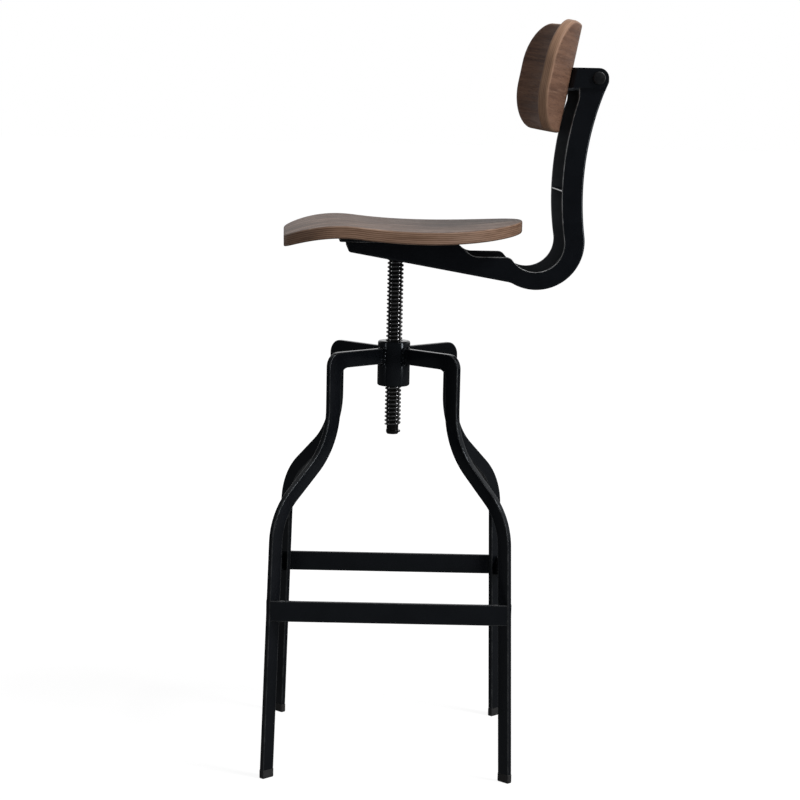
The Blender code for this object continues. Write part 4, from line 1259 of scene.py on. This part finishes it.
def headMesh(name, look, edgeAt):
    # seat at z = 0, crown towards -z
    radius, rise, dome, recess = (look[n] for n in ("headRadius", "headHeight", "dome", "recess"))
    steps, lip = headRule["steps"], rise * headRule["lip"]
    turns = [math.tau * i / steps for i in range(steps)]
    reach = [edgeAt(a) for a in turns]
    rings = [([radius] * steps, 0.0)]
    for x, z in arcPoints((radius - lip, lip + dome - rise), lip, 0, -90, 5):
        rings.append(([x] * steps, z))
    for share in (0.66, 0.33, 0.0):
        ring = [between(r, radius - lip, share) for r in reach]
        middle = sum(ring) / steps / (radius - lip)
        rings.append((ring, -rise + dome * min(1.0, middle) ** 2))
    rings.append(([r * headRule["taper"] for r in reach], recess - rise))
    shape = bmesh.new()
    loops = []
    for ring, z in rings:
        spots = [onArc((0, 0), r, a) for r, a in zip(ring, turns)]
        loops.append([shape.verts.new((*spot, z)) for spot in spots])
    skin(shape, loops)
    shape.faces.new(loops[0])
    fan(shape, shape.verts.new((0, 0, recess * headRule["pit"] - rise)), loops[-1])
    faceOut(shape)
    return toMesh(shape, name, fastenerSteel, math.radians(35))


def shankMesh(name, radius):
    # of unit length, with a blunt point
    profile = [(0, 0), (radius, 0), (radius, 0.9), (radius * 0.6, 1.0), (0, 1.0)]
    return turnedMesh(name, profile, 20, fastenerSteel)


def makeFastenerTree():
    inputs = {"Head": objectSocket, "Shank": objectSocket}
    tree, given, result, sockets = newShapeTree("fastenerRow", inputs)
    turn, length = (
        addNode(tree, "GeometryNodeInputNamedAttribute", {"Name": name}, data_type=kind)[0]
        for name, kind in (("turn", "FLOAT_VECTOR"), ("length", "FLOAT"))
    )
    long = addNode(tree, "ShaderNodeCombineXYZ", {0: 1.0, 1: 1.0, 2: length})[0]
    spots = addNode(tree, "GeometryNodeMeshToPoints", {"Mesh": given["Geometry"]})[0]
    both = tree.nodes.new("GeometryNodeJoinGeometry")
    for label, scale in (("Head", (1.0, 1.0, 1.0)), ("Shank", long)):
        source = addNode(tree, "GeometryNodeObjectInfo", {"Object": given[label]})["Geometry"]
        inputs = {"Points": spots, "Instance": source, "Rotation": turn, "Scale": scale}
        tree.links.new(addNode(tree, "GeometryNodeInstanceOnPoints", inputs)[0], both.inputs[0])
    finishTree(tree, given, result, both.outputs[0], False)
    return tree, sockets


fastenerTree, fastenerSockets = makeFastenerTree()
sources = {
    "woodHead": headMesh("wood_screw_head", woodScrew, crossEdge),
    "woodShank": shankMesh("wood_screw_shank", woodScrew["shankRadius"]),
    "boltHead": headMesh("flange_bolt_head", flangeBolt, hexEdge),
    "boltShank": shankMesh("flange_bolt_shank", flangeBolt["shankRadius"]),
}
sources = {label: placed(label, mesh) for label, mesh in sources.items()}


def setFasteners(kind, body, node, places):
    # one point for each fastener, with its turn and the length of its shank
    name = node + "s"
    points = bpy.data.meshes.new(name + "_points")
    points.from_pydata([matrix.translation for matrix, length in places], [], [])
    turns = [value for matrix, length in places for value in matrix.to_euler()]
    mark(points, "turn", turns, "POINT", "FLOAT_VECTOR")
    mark(points, "length", [length for matrix, length in places], "POINT")
    values = {"Head": sources[kind + "Head"], "Shank": sources[kind + "Shank"]}
    values["Finish"] = fastenerSteel
    mesh = grown(fastenerTree, fastenerSockets, values, name, points)
    stoodFor = [f"{node}_{i + 1}" for i in range(len(places))]
    addPiece(name, mesh, body, "fastener_steel", *stoodFor)


fastenerPlaces = {
    "plateBottom": 0.7667, "seatX": (-0.064, 0.066), "seatSpread": 0.090, "bite": 0.012,
    "boltSeat": 0.7604, "boltCircle": 0.024, "boltLength": 0.0100,
    "backSpreads": (0.036, 0.084), "bracketSheet": 0.003,
    "slotTurns": {"seat": 37, "bolt": 23, "back": 31},  # from one recess to the next, in degrees
}


def placeFasteners():
    look, slots = fastenerPlaces, fastenerPlaces["slotTurns"]
    seatScrews, flangeBolts, backScrews = [], [], []
    plate, bite = look["plateBottom"], look["bite"]
    for x in look["seatX"]:
        length = seatTop(x) - seatPanel["thickness"] + bite - plate
        for y in (-look["seatSpread"] / 2, look["seatSpread"] / 2):
            spot = swivelFrame @ moved(x, y, plate - stand["gap"])
            seatScrews.append((spot @ spun(slots["seat"] * len(seatScrews)), length))
    for i in range(4):
        x, y = onArc((0, 0), look["boltCircle"], math.radians(45 + 90 * i))
        spot = swivelFrame @ moved(x, y, look["boltSeat"])
        flangeBolts.append((spot @ spun(slots["bolt"] * i), look["boltLength"]))
    # the bracket's plate stands upright behind the leaning back
    upright = math.cos(math.radians(backPanel["lean"]))
    away = backRear + 2 * stand["gap"] + look["bracketSheet"] / upright
    for spread in look["backSpreads"]:
        for y in (-spread / 2, spread / 2):
            angle = math.asin(y / backRear)
            x, y = onArc((-backRear, 0), away, angle)
            spot = leanFrame @ moved(x, y, -backPanel["rise"] / upright)
            spot = spot @ spun(math.degrees(angle)) @ spun(-90, "Y")
            spot = spot @ spun(slots["back"] * len(backScrews))
            backScrews.append((spot, away - backRear + bite))
    setFasteners("wood", "swivel", "seat_screw", seatScrews)
    setFasteners("bolt", "swivel", "flange_bolt", flangeBolts)
    setFasteners("wood", "back", "back_screw", backScrews)


placeFasteners()
for source in sources.values():
    bpy.data.objects.remove(source)
print("fasteners set")


# weld beads where the arms meet the hub and the rails meet the legs
welds = {
    "armHalf": 0.0043, "hubRadius": 0.0242, "armHeights": (0.5846, 0.6072),
    "railInner": 0.16918, "railEnd": 0.1631, "railHeights": (0.2330, 0.2590), "threshold": 0.1,
    "armBead": {
        "Spacing": 0.0048, "Bead Radius": 0.0030, "Jitter": 0.0008, "Voxel": 0.0004, "Seed": 4,
    },
    "railBead": {
        "Spacing": 0.0036, "Bead Radius": 0.0017, "Jitter": 0.0005, "Voxel": 0.0004, "Seed": 9,
    },
}


def makeWeldTree():
    tree, given, result, sockets = newShapeTree("weldBead", welds["armBead"])
    path = addNode(tree, "GeometryNodeMeshToCurve", {"Mesh": given["Geometry"]})[0]
    inputs = {"Curve": path, "Length": given["Spacing"]}
    beads = addNode(tree, "GeometryNodeCurveToPoints", inputs, mode="LENGTH")[0]
    # each bead a little off the line and of its own size
    jitter, seed = given["Jitter"], given["Seed"]
    low, high = (
        addNode(tree, "ShaderNodeCombineXYZ", dict.fromkeys(range(3), end))[0]
        for end in (times(jitter, -1.0), jitter)
    )
    inputs = {0: low, 1: high, "Seed": seed}
    wobble = addNode(tree, "FunctionNodeRandomValue", inputs, data_type="FLOAT_VECTOR")[0]
    beads = addNode(tree, "GeometryNodeSetPosition", {"Geometry": beads, "Offset": wobble})[0]
    least, most = (times(given["Bead Radius"], share) for share in (0.85, 1.12))
    inputs = {2: least, 3: most, "Seed": seed}
    size = addNode(tree, "FunctionNodeRandomValue", inputs, data_type="FLOAT")[1]
    blob = tree.nodes.new("GeometryNodePointsToVolume")
    blob.resolution_mode = "VOXEL_SIZE"
    feed(blob, {"Points": beads, "Voxel Size": given["Voxel"], "Radius": size})
    inputs = {"Volume": blob.outputs[0], "Threshold": welds["threshold"]}
    finishTree(tree, given, result, addNode(tree, "GeometryNodeVolumeToMesh", inputs)[0])
    return tree, sockets


def makeWelds():
    tree, sockets = makeWeldTree()
    along = math.sqrt(welds["hubRadius"] ** 2 - welds["armHalf"] ** 2)
    paths = {"arm": [], "rail": []}
    for quarter in range(4):
        arm, rail = (spindleFrame @ spun(90 * quarter + start) for start in (45, 0))
        for side in (-1, 1):
            across, end = side * welds["armHalf"], side * welds["railEnd"]
            paths["arm"].append([arm @ Vector((along, across, z)) for z in welds["armHeights"]])
            spots = [Vector((end, -welds["railInner"], z)) for z in welds["railHeights"]]
            paths["rail"].append([rail @ spot for spot in spots])
    for kind, lines in paths.items():
        name = kind + "_welds"
        source = bpy.data.meshes.new(name + "_paths")
        spots = [spot for line in lines for spot in line]
        source.from_pydata(spots, [(2 * i, 2 * i + 1) for i in range(len(lines))], [])
        values = {**welds[kind + "Bead"], "Finish": blackPaint}
        mesh = grown(tree, sockets, values, name, source)
        addPiece(name, mesh, "base", "black_paint")
        print(name, len(mesh.polygons), "faces")


makeWelds()


# floor, world and lights
studio = {
    "floorSize": 40.0, "floorDark": colour(0.19, 0.19, 0.19), "floorPale": colour(0.20, 0.20, 0.20),
    "floorGloss": 0.03, "fade": (0.40, 1.30), "glow": (0.92, 1.0),
    "skyDiffuse": 0.08, "skyAcross": (0.35, 0.94, 0.0), "skySweep": (-0.10, 0.80, 0.12, 1.0),
    "aim": 0.75,
}
lamps = {
    "key_softbox": {
        "turn": 62.0, "far": 2.9, "height": 4.0, "wide": 1.4, "high": 1.4, "power": 135.0,
    },
    "top_softbox": {
        "turn": 30.0, "far": 0.3, "height": 3.7, "wide": 1.6, "high": 1.6, "power": 8.0,
    },
    "front_softbox": {
        "turn": -6.0, "far": 4.4, "height": 1.5, "wide": 2.0, "high": 2.0, "power": 26.0,
        "mirrored": False,
    },
    "right_panel": {
        "turn": 60.0, "far": 3.4, "height": 1.0, "wide": 0.6, "high": 1.7, "power": 42.0,
    },
    "left_panel": {
        "turn": -62.0, "far": 3.4, "height": 0.92, "wide": 0.4, "high": 1.5, "power": 8.0,
    },
}
white = colour(1, 1, 1)


def lightRays(tree):
    # rays from the camera, and rays that a glossy or clear surface sends on
    rays = addNode(tree, "ShaderNodeLightPath")
    sentOn = maths("MAXIMUM", rays["Is Glossy Ray"], rays["Is Transmission Ray"])
    return rays["Is Camera Ray"], sentOn


def makeFloor():
    finish = bpy.data.materials.new("studio_floor")
    finish.use_nodes = True
    tree = finish.node_tree
    tree.nodes.clear()
    spot = objectPlace(tree)
    grain = remap(noise(spot, 3.0, 3.0), 0.3, 0.7)
    base = layered(studio["floorDark"], [(grain, studio["floorPale"])])
    plain = addNode(tree, "ShaderNodeBsdfDiffuse", {"Color": base})[0]
    seen, mirrored = lightRays(tree)
    away = addNode(tree, "ShaderNodeVectorMath", {0: spot}, operation="LENGTH")["Value"]
    seen = times(seen, remap(away, *studio["fade"], *studio["glow"]))
    level = maths("MAXIMUM", seen, times(mirrored, studio["floorGloss"]))
    glow = addNode(tree, "ShaderNodeEmission", {"Color": white, "Strength": level})[0]
    both = addNode(tree, "ShaderNodeAddShader", {0: plain, 1: glow})[0]
    addNode(tree, "ShaderNodeOutputMaterial", {"Surface": both})
    shape = bmesh.new()
    bmesh.ops.create_grid(shape, x_segments=2, y_segments=2, size=studio["floorSize"])
    placed("studio_floor", toMesh(shape, "studio_floor", finish))


def makeWorld():
    world = bpy.data.worlds.new("studio_world")
    scene.world = world
    world.use_nodes = True
    tree = world.node_tree
    tree.nodes.clear()
    seen, mirrored = lightRays(tree)
    inputs = {0: addNode(tree, "ShaderNodeTexCoord")["Generated"], 1: studio["skyAcross"]}
    across = addNode(tree, "ShaderNodeVectorMath", inputs, operation="DOT_PRODUCT")["Value"]
    level = studio["skyDiffuse"]
    for share, over in ((mirrored, remap(across, *studio["skySweep"])), (seen, 1.0)):
        level = addNode(tree, "ShaderNodeMix", {0: share, 2: level, 3: over}, data_type="FLOAT")[0]
    sky = addNode(tree, "ShaderNodeBackground", {"Color": white, "Strength": level})[0]
    addNode(tree, "ShaderNodeOutputWorld", {"Surface": sky})


def makeLamp(name, look):
    data = bpy.data.lights.new(name, "AREA")
    data.shape = "RECTANGLE"
    data.size, data.size_y = look["wide"], look["high"]
    data.energy = look["power"]
    lamp = placed(name, data)
    turn = math.radians(look["turn"])
    lamp.location = (look["far"] * math.sin(turn), -look["far"] * math.cos(turn), look["height"])
    towards = lamp.location - Vector((0, 0, studio["aim"]))
    lamp.rotation_euler = towards.to_track_quat("Z", "Y").to_euler()
    lamp.visible_camera = False
    lamp.visible_glossy = look.get("mirrored", True)


makeFloor()
makeWorld()
for lampName, look in lamps.items():
    makeLamp(lampName, look)
print("studio set")

# camera at the photograph's viewing angle, with its place from the spindle and its turns in radians
shot = {
    "place": (-0.00173, -3.2133, 0.9799), "pitch": 0.1393, "roll": 0.0207, "yaw": 0.0038,
    "lens": 98.18, "sensor": 36.0,
}


def makeCamera():
    data = bpy.data.cameras.new("shot")
    data.lens, data.sensor_width = shot["lens"], shot["sensor"]
    camera = placed("shot", data)
    pitch, yaw, roll = shot["pitch"], shot["yaw"], shot["roll"]
    level = math.cos(pitch)
    ahead = Vector((math.sin(yaw) * level, math.cos(yaw) * level, -math.sin(pitch)))
    right = Vector((math.cos(yaw), -math.sin(yaw), 0))
    up = right.cross(ahead)
    across = right * math.cos(roll) + up * math.sin(roll)
    upward = up * math.cos(roll) - right * math.sin(roll)
    turn = Matrix((across, upward, -ahead)).transposed().to_4x4()
    camera.matrix_world = spindleFrame @ moved(*shot["place"]) @ turn
    scene.camera = camera


makeCamera()
scene.view_settings.view_transform = "Standard"
